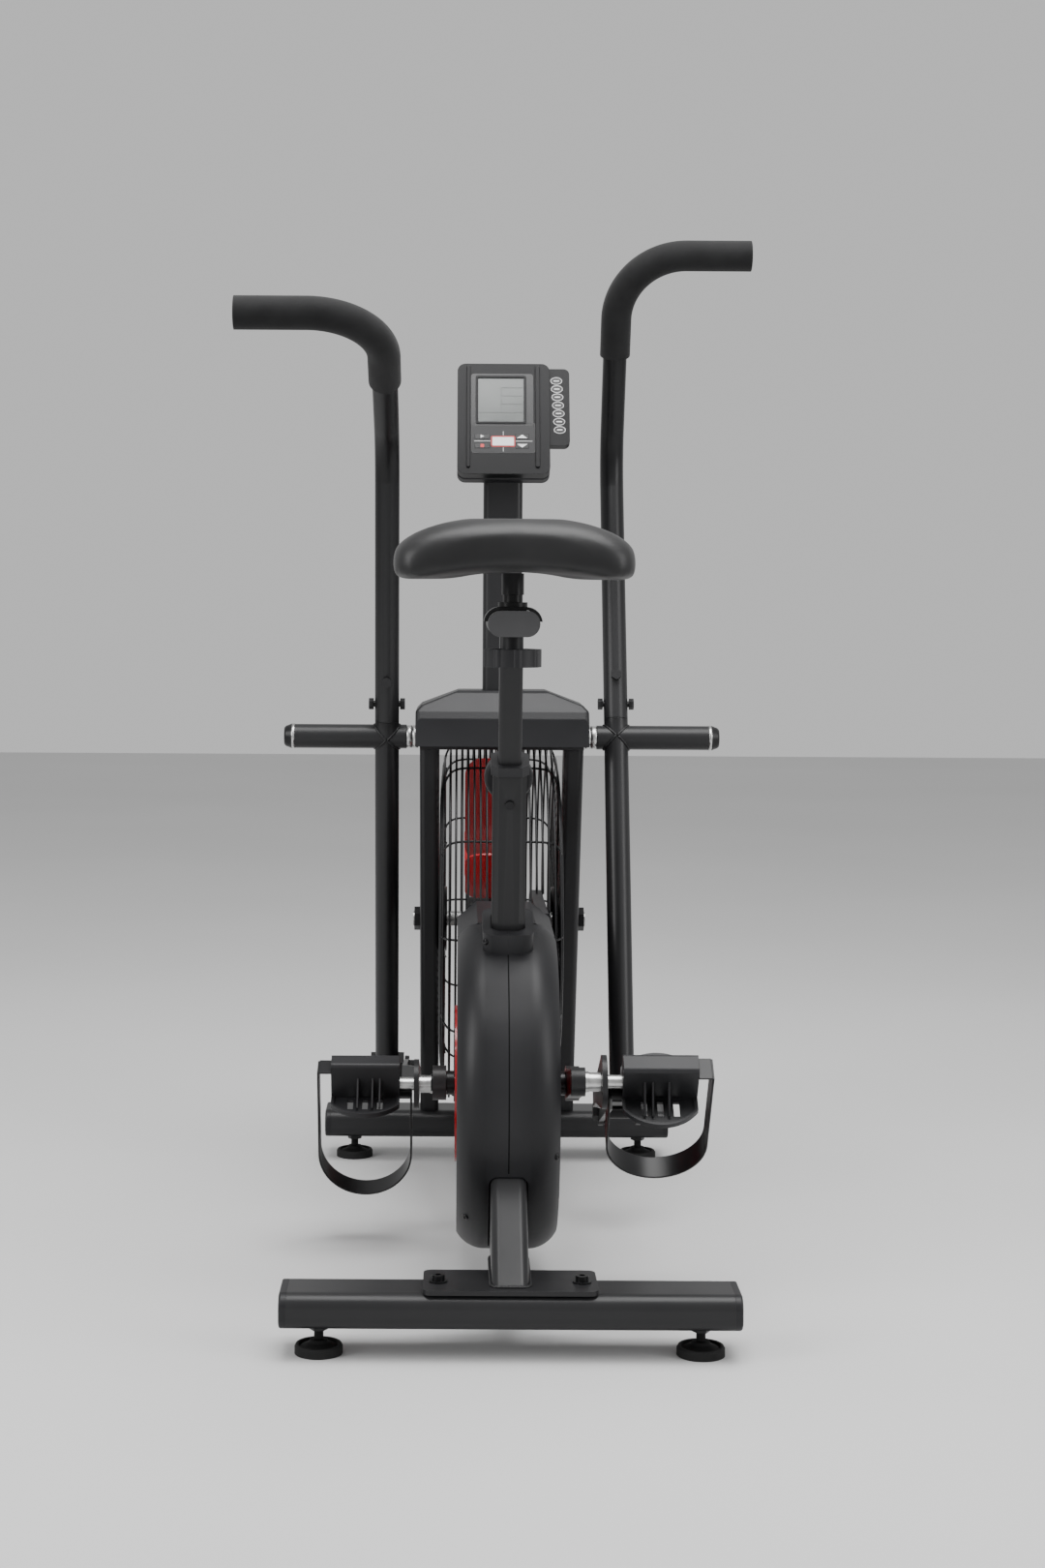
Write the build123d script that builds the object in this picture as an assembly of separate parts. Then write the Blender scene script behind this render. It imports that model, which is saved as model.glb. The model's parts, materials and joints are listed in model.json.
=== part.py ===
from build123d import *
import math
import os

# Air bike: fan-resisted exercise bike with swinging arm levers.
# Millimetres. +X right, +Y forward (the way the rider faces), +Z up.
# The model is laid out with Y = 0 at the rear stabiliser and Z = 0 at the floor,
# and is shifted at the end so that the origin is the bottom centre of its box.

# ---------------------------------------------------------------- driving sizes
STAB_HALF = 244.0          # half length of each stabiliser with its end caps
STAB_Z0, STAB_Z1 = 33.0, 71.0
STAB_DEEP = 76.0
STAB_R = 15.0
FRONT_Y = 891.0            # front stabiliser centre
FOOT_X = 203.0

PIVOT_Y, PIVOT_Z = 652.0, 616.0    # arm pivot axis
CRANK_Y, CRANK_Z = 270.0, 232.0    # crank axis
FAN_Y, FAN_Z = 765.0, 358.0        # fan axis
FAN_R = 250.0                      # cage radius
CAGE_HALF = 81.0                   # clears the uprights' inner faces at 83

CRANK_R = 134.9            # crank radius
CRANK_TILT = 12.28         # left pedal forward and low, right pedal back and high
ARM_LOW = 490.0            # pivot to lower joint
LINK_L = 392.7             # pedal axle to lower arm joint
ARM_X = 153.0              # arm plane
TUBE_R = 16.0
ARM_UP = 395.0             # pivot to the bend
ARM_BACK = 297.0           # bend to grip corner
GRIP_END = 326.0           # half width over the grips
PEG_END = 276.0

PULLEY_R, FAN_PULLEY_R = 90.0, 20.0
BELT_X0, BELT_X1 = 44.5, 53.5

LEAN = 17.0                # seat tube lean, degrees
SHROUD_R = 187.5
SHROUD_HALF, SHROUD_BAND = 57.5, 34.0

CLEAR = 0.05               # running clearance on radius


# ---------------------------------------------------------------- helpers
def rod(p, q, r):
    p, q = Vector(*p), Vector(*q)
    d = q - p
    return extrude(Plane(origin=p, z_dir=d) * Circle(r), d.length)


def rodx(y, z, x0, x1, r):
    a, b = min(x0, x1), max(x0, x1)
    return rod((a, y, z), (b, y, z), r)


def block(x0, x1, y0, y1, z0, z1):
    return Pos((x0 + x1) / 2, (y0 + y1) / 2, (z0 + z1) / 2) * Box(
        abs(x1 - x0), abs(y1 - y0), abs(z1 - z0)
    )


def plate_x(pts, x0, x1):
    # polygon in the Y, Z plane, given thickness along X
    face = make_face(Polyline(*pts, close=True))
    return extrude(Plane.YZ.offset(x0) * face, x1 - x0)


def bar(p, q, w, h, r, up=(1, 0, 0)):
    # rounded bar from p to q: w along "up" (an X direction), h across it
    p, q = Vector(*p), Vector(*q)
    d = q - p
    return extrude(Plane(origin=p, x_dir=Vector(*up), z_dir=d) * RectangleRounded(w, h, r), d.length)


def hex_bar(p, q, across):
    p, q = Vector(*p), Vector(*q)
    d = q - p
    return extrude(
        Plane(origin=p, z_dir=d) * RegularPolygon(across / 2, 6, major_radius=False), d.length
    )


def mirror_x(s):
    return mirror(s, about=Plane.YZ)


def group(*solids):
    flat = []
    for s in solids:
        flat.extend(s.solids())
    return Compound(children=flat)


def biggest(s):
    return max(s.solids(), key=lambda k: k.volume)


NODES = {}

# ---------------------------------------------------------------- stabilisers
zc = (STAB_Z0 + STAB_Z1) / 2
zh = STAB_Z1 - STAB_Z0


def stab_bar(y, half, grow=0.0, r=STAB_R):
    return bar((-half, y, zc), (half, y, zc), STAB_DEEP + 2 * grow, zh + 2 * grow, r, up=(0, 1, 0))


def stabiliser(y):
    s = stab_bar(y, STAB_HALF - 8) - stab_bar(y, STAB_HALF, -2.0, STAB_R - 2)
    for sx in (-1, 1):
        s -= rod((sx * FOOT_X, y, STAB_Z0 - 1), (sx * FOOT_X, y, STAB_Z0 + 3), 5.0 + CLEAR)
    return s


rear_stab = stabiliser(0)
for sx in (-1, 1):
    rear_stab -= rod((sx * 76.5, 0, STAB_Z1 - 3), (sx * 76.5, 0, STAB_Z1 + 1), 4.05)
NODES["rear_stabiliser"] = rear_stab
NODES["front_stabiliser"] = stabiliser(FRONT_Y)

caps = []
for y in (0, FRONT_Y):
    lip = bar((STAB_HALF - 8, y, zc), (STAB_HALF, y, zc), STAB_DEEP, zh, STAB_R, up=(0, 1, 0))
    lip = fillet(lip.faces().sort_by(Axis.X)[-1].edges(), 2.5)
    plug = bar((STAB_HALF - 28, y, zc), (STAB_HALF - 8, y, zc), STAB_DEEP - 4.4, zh - 4.4, STAB_R - 2.2, up=(0, 1, 0))
    cap = lip + plug
    caps += [cap, mirror_x(cap)]
NODES["stabiliser_end_caps"] = group(*caps)


# levelling feet: rubber pad with a raised rim on a threaded stud
def foot(x, y):
    profile = Polyline(
        (0, 0), (25.7, 0), (25.7, 7.5), (24.2, 10), (21.5, 10), (20, 7.5),
        (11, 11.5), (9, 15), (5.0, 15), (5.0, 62), (0, 62), close=True,
    )
    s = revolve(Plane.XZ * make_face(profile), Axis.Z)
    return Pos(x, y, 0) * s


for name, sx, y in (
    ("foot_rear_left", -1, 0), ("foot_rear_right", 1, 0),
    ("foot_front_left", -1, FRONT_Y), ("foot_front_right", 1, FRONT_Y),
):
    NODES[name] = foot(sx * FOOT_X, y)

# ---------------------------------------------------------------- seat tube direction
lam = math.radians(LEAN)
SDIR = Vector(0, -math.sin(lam), math.cos(lam))
SPERP = Vector(0, math.cos(lam), math.sin(lam))
BB = Vector(0, CRANK_Y, CRANK_Z)


def along(t, off=0.0):
    return BB + SDIR * t + SPERP * off


def seat_bar(t0, t1, w, d, r):
    p, q = along(t0), along(t1)
    return extrude(Plane(origin=p, x_dir=(1, 0, 0), z_dir=SDIR) * RectangleRounded(w, d, r), t1 - t0)


def seat_chamfer_bar(t0, t1, w, d, c):
    pts = [
        (-w / 2 + c, -d / 2), (w / 2 - c, -d / 2), (w / 2, -d / 2 + c), (w / 2, d / 2 - c),
        (w / 2 - c, d / 2), (-w / 2 + c, d / 2), (-w / 2, d / 2 - c), (-w / 2, -d / 2 + c),
    ]
    return extrude(Plane(origin=along(t0), x_dir=(1, 0, 0), z_dir=SDIR) * make_face(Polyline(*pts, close=True)), t1 - t0)


T_TOP = 395.0              # top of the outer seat tube
T_PIN = 365.0              # pop pin station
POST_T1 = (761.0 - CRANK_Z) / math.cos(lam)

shell_out = rodx(CRANK_Y, CRANK_Z, -36, 36, 25)
shell_bore = rodx(CRANK_Y, CRANK_Z, -40, 40, 18.0)
seat_tube = seat_chamfer_bar(10, T_TOP, 38, 48, 7) - seat_chamfer_bar(30, T_TOP + 5, 34, 44, 6)
seat_tube = seat_tube + shell_out
pin_boss = rod(along(T_PIN, 23), along(T_PIN, 42), 10)
seat_tube = seat_tube + pin_boss
seat_tube -= shell_bore
seat_tube -= rod(along(T_PIN, 10), along(T_PIN, 50), 5.0 + CLEAR)
seat_tube -= rod(along(T_PIN - 4, -30), along(T_PIN - 4, -10), 3.05)
NODES["seat_tube"] = seat_tube

# plastic bush and collar in the top of the seat tube
collar = seat_chamfer_bar(T_TOP, T_TOP + 11, 43, 53, 8) + seat_chamfer_bar(290, T_TOP, 33.8, 43.8, 6)
collar -= seat_bar(280, T_TOP + 20, 26.2, 36.2, 5.1)
collar -= rod(along(T_PIN, 10), along(T_PIN, 30), 5.6)
collar -= rod(along(T_PIN - 4, -30), along(T_PIN - 4, -10), 3.05)
NODES["seat_collar"] = collar

# bottom bracket bearings
NODES["bracket_bearings"] = group(
    *[
        rodx(CRANK_Y, CRANK_Z, a, b, 17.96) - rodx(CRANK_Y, CRANK_Z, a - 1, b + 1, 10.0 + CLEAR)
        for a, b in ((-36, -24), (24, 36))
    ]
)

# ---------------------------------------------------------------- rear post and base beam
POST_DEEP = 70.0
slope = math.atan2(162 - 75, 96 + 25)
pu = Vector(0, math.cos(slope), math.sin(slope))
pn = Vector(0, -math.sin(slope), math.cos(slope))
pc = Vector(0, 96, 162) - pn * (POST_DEEP / 2)
p_lo = pc - pu * 190


def post_bar(w, h, r):
    return extrude(Plane(origin=p_lo, x_dir=(1, 0, 0), z_dir=pu) * RectangleRounded(w, h, r), 360)


keep_post = plate_x([(-60, 76), (300, 76), (300, 400), (-60, 400)], -60, 60)
post = (post_bar(40, POST_DEEP, 9) - post_bar(35, POST_DEEP - 5, 6.5)) & keep_post
post -= seat_chamfer_bar(-40, T_TOP, 38, 48, 7)
post -= rodx(CRANK_Y, CRANK_Z, -60, 60, 25)
post = [s for s in post.solids() if s.center().Y < 245]
post = max(post, key=lambda k: k.volume)
base_plate = extrude(Plane.XY.offset(STAB_Z1) * Pos(0, 5) * RectangleRounded(185, 80, 9), 5)
for sx in (-1, 1):
    base_plate -= rod((sx * 76.5, 0, 70), (sx * 76.5, 0, 80), 4.05)
NODES["rear_post"] = group(base_plate, post)

b0, b1 = Vector(0, 62, 95), Vector(0, 880, 50.6)
bd = (b1 - b0).normalized()


def beam_bar(w, h, r, y0=62.0, y1=880.0):
    return extrude(Plane(origin=b0, x_dir=(1, 0, 0), z_dir=bd) * RectangleRounded(w, h, r), (b1 - b0).length)


beam = beam_bar(40, 36, 5) - beam_bar(35, 31, 3)
beam -= stab_bar(FRONT_Y, 250)
beam -= post_bar(40, POST_DEEP, 9)
beam = biggest(beam)
NODES["base_beam"] = beam

# ---------------------------------------------------------------- uprights, crossmember, mast
UP_LEAN = (FRONT_Y - PIVOT_Y) / (PIVOT_Z - STAB_Z1)
ud = Vector(0, UP_LEAN, -1).normalized()
UP_TOP = 600.0


def upright(sx):
    top = Vector(sx * 96.0, PIVOT_Y, PIVOT_Z) - ud * 20
    length = 660

    def b(w, h, r):
        return extrude(Plane(origin=top, x_dir=(1, 0, 0), z_dir=ud) * RectangleRounded(w, h, r), length)

    s = b(26, 50, 7) - b(21, 45, 4.5)
    s &= block(sx * 96 - 40, sx * 96 + 40, 500, FRONT_Y + 4, 44, UP_TOP)
    s -= stab_bar(FRONT_Y, 250)
    # tapered foot of the tube where it is welded to the stabiliser
    for k in (-1, 1):
        s -= extrude(
            Plane.XZ.offset(-FRONT_Y - 20)
            * make_face(Polyline((sx * 96 + k * 14, 72), (sx * 96 + k * 14, 40), (sx * 96 + k * 5, 40), close=True)),
            200,
        )
    s = biggest(s)
    s -= rodx(FAN_Y, FAN_Z, sx * 70, sx * 125, 10.05)
    return s


NODES["upright_left"] = upright(-1)
NODES["upright_right"] = upright(1)

CROSS_Y0, CROSS_Y1 = 626.0, 690.0
CROSS_TOP = 645.0
cross_out = bar((-109, 658, 622.5), (109, 658, 622.5), 64, 45, 6, up=(0, 1, 0))
cross_in = bar((-105, 658, 622.5), (105, 658, 622.5), 58, 39, 4, up=(0, 1, 0))
crossmember = cross_out - cross_in
for sx in (-1, 1):
    crossmember = crossmember + rodx(PIVOT_Y, PIVOT_Z, sx * 100, sx * 273, 12.5)
NODES["top_crossmember"] = crossmember

mast_y = 656.0
mast = extrude(Plane.XY.offset(CROSS_TOP) * Pos(0, mast_y) * RectangleRounded(52, 40, 9), 330)
mast -= extrude(Plane.XY.offset(CROSS_TOP - 1) * Pos(0, mast_y) * RectangleRounded(47, 35, 6.5), 340)
NODES["console_mast"] = mast


# moulded cover over the crossmember
def cover_solid(g):
    # g shrinks the outline by g all round
    front = extrude(
        Plane.XZ.offset(-720)
        * make_face(
            Polyline(
                (-114.5 + g, 606 - (20 if g else 0)), (-114.5 + g, 652 - g * 0.5), (-107 + g * 0.6, 660 - g),
                (-58, 679 - g), (58, 679 - g), (107 - g * 0.6, 660 - g), (114.5 - g, 652 - g * 0.5),
                (114.5 - g, 606 - (20 if g else 0)), close=True,
            )
        ),
        140,
    )
    side = plate_x(
        [
            (599 + g, 606 - (20 if g else 0)), (599 + g, 642 - g * 0.5), (604 + g * 0.7, 652 - g * 0.8), (624 + g * 0.3, 676 - g),
            (632, 681 - g), (686, 681 - g), (694 - g * 0.3, 676 - g),
            (714 - g * 0.7, 652 - g * 0.8), (718 - g, 642 - g * 0.5), (718 - g, 606 - (20 if g else 0)),
        ],
        -130, 130,
    )
    return front & side


cover_out = cover_solid(0)
cover_out = fillet([e for e in cover_out.edges() if e.center().Z > 640], 6)
cover = cover_out - cover_solid(3.0)
cover -= extrude(Plane.XY.offset(640) * Pos(0, mast_y) * RectangleRounded(53, 41, 9.5), 60)
for sx in (-1, 1):
    cover -= rodx(PIVOT_Y, PIVOT_Z, sx * 100, sx * 130, 17)
    cover -= block(sx * 105, sx * 120, PIVOT_Y - 17, PIVOT_Y + 17, 596, PIVOT_Z)
NODES["top_cover"] = cover

# ---------------------------------------------------------------- shroud
def ring_profile(r, half, band, bevel, x0=None):
    # section of the round part of the shroud, revolved about the crank axis
    if x0 is None:
        face = make_face(
            Polyline((-half, 0), (-half, r - bevel), (-band, r), (band, r), (half, r - bevel), (half, 0), close=True)
        )
    else:
        # rounded shoulders from x0 out to the side faces
        mx, mr = (x0 + half) / 2 + 4.2, r - bevel * 0.30
        face = make_face(
            [
                Line((-half, 0), (-half, r - bevel)), ThreePointArc((-half, r - bevel), (-mx, mr), (-x0, r)),
                Line((-x0, r), (x0, r)), ThreePointArc((x0, r), (mx, mr), (half, r - bevel)),
                Line((half, r - bevel), (half, 0)), Line((half, 0), (-half, 0)),
            ]
        )
    # local x is along X, local y is radial along Z
    pl = Plane(origin=(0, CRANK_Y, CRANK_Z), x_dir=(1, 0, 0), z_dir=(0, -1, 0))
    return revolve(pl * face, Axis((0, CRANK_Y, CRANK_Z), (1, 0, 0)))


LOBE = [(270, 420), (470, 420), (502, 392), (502, 205), (405, 100), (270, 200)]


def inset(pts, d):
    # shrink a convex polygon by d, keeping its corner order
    n = len(pts)
    cx = sum(p[0] for p in pts) / n
    cz = sum(p[1] for p in pts) / n
    lines = []
    for i in range(n):
        (ax, az), (bx, bz) = pts[i], pts[(i + 1) % n]
        dx, dz = bx - ax, bz - az
        ln = math.hypot(dx, dz)
        nx, nz = -dz / ln, dx / ln
        if (cx - ax) * nx + (cz - az) * nz < 0:
            nx, nz = -nx, -nz
        lines.append((ax + nx * d, az + nz * d, dx, dz))
    out = []
    for i in range(n):
        (ax, az, adx, adz), (bx, bz, bdx, bdz) = lines[i - 1], lines[i]
        det = adx * (-bdz) + bdx * adz
        t = ((bx - ax) * (-bdz) + bdx * (bz - az)) / det
        out.append((ax + adx * t, az + adz * t))
    return out


def lobe_solid(pts, half, band, bevel):
    mid = plate_x(pts, -band, band)
    small = inset(pts, bevel)
    out = mid
    for s in (-1, 1):
        f0 = Plane.YZ.offset(s * band) * make_face(Polyline(*pts, close=True))
        f1 = Plane.YZ.offset(s * half) * make_face(Polyline(*small, close=True))
        out = out + loft([f0, f1], ruled=True)
    return out


outer = ring_profile(SHROUD_R, SHROUD_HALF, SHROUD_BAND, 19, x0=24) + lobe_solid(LOBE, SHROUD_HALF, SHROUD_BAND, 19)
outer = outer + seat_bar(60, 207, 58, 74, 12)
LOBE_IN = inset(LOBE, 3.0)
inner = ring_profile(SHROUD_R - 3, SHROUD_HALF - 3, SHROUD_BAND - 1.5, 18.5) + lobe_solid(LOBE_IN, SHROUD_HALF - 3, SHROUD_BAND - 1.5, 18.5)
inner = inner + seat_bar(60, 204, 52, 68, 9)
shroud = outer - inner
shroud -= seat_chamfer_bar(60, 230, 39, 49, 7.3)
shroud -= post_bar(43, POST_DEEP + 3, 10)
shroud -= beam_bar(43, 39, 6)
shroud -= plate_x([(66, 60), (66, 130), (120, 172), (190, 130), (190, 60)], -21.5, 21.5)
shroud -= rodx(CRANK_Y, CRANK_Z, -80, 80, 22)
# thin belt guard running forward on the right, beside the fan
GX0, GX1 = 42.0, 57.5


def guard_solid(g, y_start, close=0.0):
    h1 = 40 - g
    pts = [(y_start, 203 + g), (500, 212 + g), (FAN_Y, FAN_Z - h1), (FAN_Y + h1 * 0.75, FAN_Z - h1 * 0.7), (FAN_Y + h1, FAN_Z),
           (FAN_Y + h1 * 0.75, FAN_Z + h1 * 0.7), (FAN_Y, FAN_Z + h1), (y_start, 404 - g)]
    return plate_x(pts, GX0 + (2 if g else 0), GX1 - (2 if g else 0))


guard = guard_solid(0, 478) - guard_solid(2, 450)
guard -= rodx(FAN_Y, FAN_Z, 20, 50, 17)
guard -= rodx(FAN_Y, FAN_Z, 20, 80, 12)
shroud -= guard_solid(2, 455)
half_l = shroud & block(-90, 0, 0, 1000, 0, 700)
half_r = shroud & block(0, 90, 0, 1000, 0, 700)

# screw bosses that join the halves
BOSS = []
for ang in (-42, 12, 78, 141, 178):
    a = math.radians(ang)
    BOSS.append((CRANK_Y + 164 * math.cos(a), CRANK_Z + 164 * math.sin(a)))
screws = []
for (y, z) in BOSS:
    half_l = half_l + rodx(y, z, -SHROUD_HALF + 1.5, 0, 6)
    half_r = half_r + rodx(y, z, 0, SHROUD_HALF - 1.5, 6)
    half_l -= rodx(y, z, -70, 0.5, 2.05)
    half_l -= rodx(y, z, -70, -32, 4.3)
    half_r -= rodx(y, z, -0.5, 22, 2.05)
    screws.append(rodx(y, z, -32, 20, 2.0) + rodx(y, z, -35, -32, 4.0) - hex_bar((-36, y, z), (-33.5, y, z), 2.5))
print("shroud pieces", [round(k.volume) for k in half_l.solids()], [round(k.volume) for k in half_r.solids()])
NODES["shroud_left"] = biggest(half_l)
half_r = biggest(half_r)
guard = biggest(guard - half_r)
NODES["shroud_right"] = group(half_r, guard)

NODES["accent_discs"] = group(
    *[
        rodx(CRANK_Y, CRANK_Z, sx * SHROUD_HALF, sx * (SHROUD_HALF + 2.5), 90)
        - rodx(CRANK_Y, CRANK_Z, sx * (SHROUD_HALF - 1), sx * (SHROUD_HALF + 4), 23)
        for sx in (-1, 1)
    ]
)

# ---------------------------------------------------------------- fasteners
for sx in (-1, 1):
    x = sx * 76.5
    b = rod((x, 0, 62), (x, 0, 77.6), 4.0) + rod((x, 0, 76), (x, 0, 77.6), 10) + rod((x, 0, 77.6), (x, 0, 83.6), 7)
    b -= hex_bar((x, 0, 80.6), (x, 0, 84), 6)
    screws.append(b)
tscrew = rod(along(T_PIN - 4, -27), along(T_PIN - 4, -19.0), 3.0) + rod(along(T_PIN - 4, -27), along(T_PIN - 4, -24.1), 5.0)
screws.append(tscrew)
NODES["fixing_screws"] = group(*screws)

nuts = []
for y in (0, FRONT_Y):
    for sx in (-1, 1):
        n = hex_bar((sx * FOOT_X, y, STAB_Z0 - 8), (sx * FOOT_X, y, STAB_Z0), 17)
        n -= rod((sx * FOOT_X, y, STAB_Z0 - 10), (sx * FOOT_X, y, STAB_Z0 + 1), 5.0 + CLEAR)
        nuts.append(n)
for sx in (-1, 1):
    n = hex_bar((sx * 109, FAN_Y, FAN_Z), (sx * 117, FAN_Y, FAN_Z), 28)
    n -= rodx(FAN_Y, FAN_Z, sx * 105, sx * 120, 10.03)
    nuts.append(n)
NODES["hex_nuts"] = group(*nuts)

# ---------------------------------------------------------------- fan, axle and cage
NODES["fan_axle"] = rodx(FAN_Y, FAN_Z, -118.5, 118.5, 10.0)

hub = rodx(FAN_Y, FAN_Z, -42, 38, 30) + rodx(FAN_Y, FAN_Z, 36, BELT_X0 + 1, 15) + rodx(FAN_Y, FAN_Z, BELT_X0 + 0.5, BELT_X1, FAN_PULLEY_R)
N_BLADE = 6
BLADE_T = 2.5
for i in range(N_BLADE):
    a = math.radians(90 + 360 / N_BLADE * i)
    spoke = Pos(0, FAN_Y, FAN_Z) * Rot(math.degrees(a), 0, 0) * block(-14, 14, 26, 150, -6, 0)
    hub = hub + spoke
hub -= rodx(FAN_Y, FAN_Z, -45, 28, 17.55)
hub -= rodx(FAN_Y, FAN_Z, -45, 60, 10.0 + CLEAR)
NODES["fan_hub"] = hub
NODES["fan_bearings"] = group(
    *[
        rodx(FAN_Y, FAN_Z, a, b, 17.53) - rodx(FAN_Y, FAN_Z, a - 1, b + 1, 10.0 + CLEAR)
        for a, b in ((-42, -30), (16, 28))
    ]
)
blades = []
for i in range(N_BLADE):
    ang = 90 + 360 / N_BLADE * i
    face = Plane.XY * Pos((-48 + 30) / 2, (78 + 222) / 2) * RectangleRounded(78, 144, 24)
    b = Pos(0, FAN_Y, FAN_Z) * Rot(ang, 0, 0) * extrude(face, BLADE_T)
    blades.append(b)
NODES["fan_blades"] = group(*blades)


def cage_half_width(r):
    return CAGE_HALF * max(0.0, 1 - (r / FAN_R) ** 8.0) ** 0.125


def cage_radius(x):
    return FAN_R * max(0.0, 1 - (abs(x) / CAGE_HALF) ** 8.0) ** 0.125


WIRE = 1.5
RIM_X = [4.0 + 8.0 * i for i in range(10)]     # hoop stations on one half, 4 to 76
SIDE_R = [52.0 + 12.0 * i for i in range(14)]  # rings on the side face, 52 to 208
N_SECT = 12


def rib_points(x0, x1, r_in, offset):
    pts = []
    n = 14
    for k in range(n + 1):
        x = x0 + (x1 - x0) * k / n
        pts.append((x, cage_radius(x) + offset))
    return pts


def cage_half(sx):
    # rim: twelve sectors, each of ten hoop lengths welded to one cross rib
    circles = []
    pl = Plane(origin=(0, FAN_Y, FAN_Z), x_dir=(1, 0, 0), z_dir=(0, -1, 0))
    axis = Axis((0, FAN_Y, FAN_Z), (1, 0, 0))
    step = 360.0 / N_SECT
    sector = None
    for x in RIM_X:
        r = cage_radius(x)
        w = revolve(pl * Pos(sx * x, r) * RegularPolygon(WIRE, 8), axis, step)
        sector = w if sector is None else sector + w
    # rib: flat bar following the barrel of the cage, just inside the hoops
    top = [(sx * x, r) for x, r in rib_points(0.0, 78.0, 0, -0.4)]
    low = [(sx * x, r) for x, r in rib_points(0.0, 78.0, 0, -3.4)][::-1]
    rib = extrude(pl * make_face(Polyline(*(top + low), close=True)), 1.5, both=True)
    rib = rib.rotate(axis, 1.2)
    sector = sector + rib
    sectors = [Part() + sector.rotate(axis, step * i) for i in range(N_SECT)]
    # side face: rings and spokes, domed
    side = None
    for r in SIDE_R:
        x = cage_half_width(r)
        w = revolve(pl * Pos(sx * x, r) * RegularPolygon(WIRE, 8), axis, 360)
        side = w if side is None else side + w
    a = [(sx * (cage_half_width(r) - 0.4), r) for r in range(40, 219, 12)]
    b = [(sx * (cage_half_width(r) - 3.4), r) for r in range(40, 219, 12)][::-1]
    spoke = extrude(pl * make_face(Polyline(*(a + b), close=True)), 1.5, both=True)
    for i in range(8):
        side = side + spoke.rotate(axis, 45.0 * i + 22.5)
    hubring = rodx(FAN_Y, FAN_Z, sx * 72, sx * 82.3, 44) - rodx(FAN_Y, FAN_Z, sx * 60, sx * 90, 10)
    hubring -= rodx(FAN_Y, FAN_Z, sx * 60, sx * 80.5, 41)
    side = side + hubring
    return sectors, side


sectors, side = cage_half(1)
NODES["cage_left"] = group(*[mirror_x(s) for s in sectors], mirror_x(side))
# gap for the belt guard
notch = block(40.0, 58.3, 500, 640, 224, 412)
NODES["cage_right"] = group(*[k for s in sectors for k in (s - notch).solids()], side)

# ---------------------------------------------------------------- drive: pulleys and belt
def two_circle_region(ra, rb):
    dy, dz = FAN_Y - CRANK_Y, FAN_Z - CRANK_Z
    dist = math.hypot(dy, dz)
    base = math.atan2(dz, dy)
    off = math.acos((ra - rb) / dist)
    pts = []
    for s in (1, -1):
        a = base + s * off
        pts.append(((CRANK_Y + ra * math.cos(a), CRANK_Z + ra * math.sin(a)), (FAN_Y + rb * math.cos(a), FAN_Z + rb * math.sin(a))))
    (p0, q0), (p1, q1) = pts
    quad = make_face(Polyline((CRANK_Y, CRANK_Z), p0, q0, (FAN_Y, FAN_Z), q1, p1, close=True))
    return Plane.YZ * (quad + Pos(CRANK_Y, CRANK_Z) * Circle(ra) + Pos(FAN_Y, FAN_Z) * Circle(rb))


belt = extrude(Plane.YZ.offset(0) * Plane.YZ.to_local_coords(two_circle_region(PULLEY_R + 3, FAN_PULLEY_R + 3)), BELT_X1 - BELT_X0)
belt -= extrude(Plane.YZ.offset(0) * Plane.YZ.to_local_coords(two_circle_region(PULLEY_R + 0.05, FAN_PULLEY_R + 0.05)), BELT_X1 - BELT_X0)
NODES["drive_belt"] = Pos(BELT_X0, 0, 0) * belt

pulley = rodx(CRANK_Y, CRANK_Z, BELT_X0, BELT_X1, PULLEY_R) - rodx(CRANK_Y, CRANK_Z, BELT_X0 - 1, BELT_X0 + 3, 102)
pulley -= rodx(CRANK_Y, CRANK_Z, BELT_X1 - 3, BELT_X1 + 1, 102)
pulley = pulley + rodx(CRANK_Y, CRANK_Z, 37, 54, 19)
for i in range(6):
    a = math.radians(60 * i + 15)
    pulley -= rodx(CRANK_Y + 62 * math.cos(a), CRANK_Z + 62 * math.sin(a), 35, 55, 21)
pulley -= rodx(CRANK_Y, CRANK_Z, 30, 60, 10.02)
NODES["crank_pulley"] = pulley

# ---------------------------------------------------------------- cranks and pedal axles
NODES["crank_spindle"] = rodx(CRANK_Y, CRANK_Z, -88, 88, 10.0) + rodx(CRANK_Y, CRANK_Z, -69.5, -61, 14) + rodx(CRANK_Y, CRANK_Z, 61, 69.5, 14)

tl = math.radians(CRANK_TILT)
PEDAL = {
    -1: (CRANK_Y + CRANK_R * math.cos(tl), CRANK_Z - CRANK_R * math.sin(tl)),
    1: (CRANK_Y - CRANK_R * math.cos(tl), CRANK_Z + CRANK_R * math.sin(tl)),
}


def arm_joint(sx):
    # lower joint of the arm lever: on the arm circle and LINK_L from the pedal axle
    py, pz = PEDAL[sx]
    dy, dz = py - PIVOT_Y, pz - PIVOT_Z
    d = math.hypot(dy, dz)
    a = (ARM_LOW**2 - LINK_L**2 + d * d) / (2 * d)
    h = math.sqrt(max(0.0, ARM_LOW**2 - a * a))
    ey, ez = dy / d, dz / d
    c = [(PIVOT_Y + ey * a - ez * h * s, PIVOT_Z + ez * a + ey * h * s) for s in (-1, 1)]
    return max(c, key=lambda q: q[0])


JOINT = {s: arm_joint(s) for s in (-1, 1)}
SWING = {s: math.degrees(math.atan2(JOINT[s][0] - PIVOT_Y, PIVOT_Z - JOINT[s][1])) for s in (-1, 1)}


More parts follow.
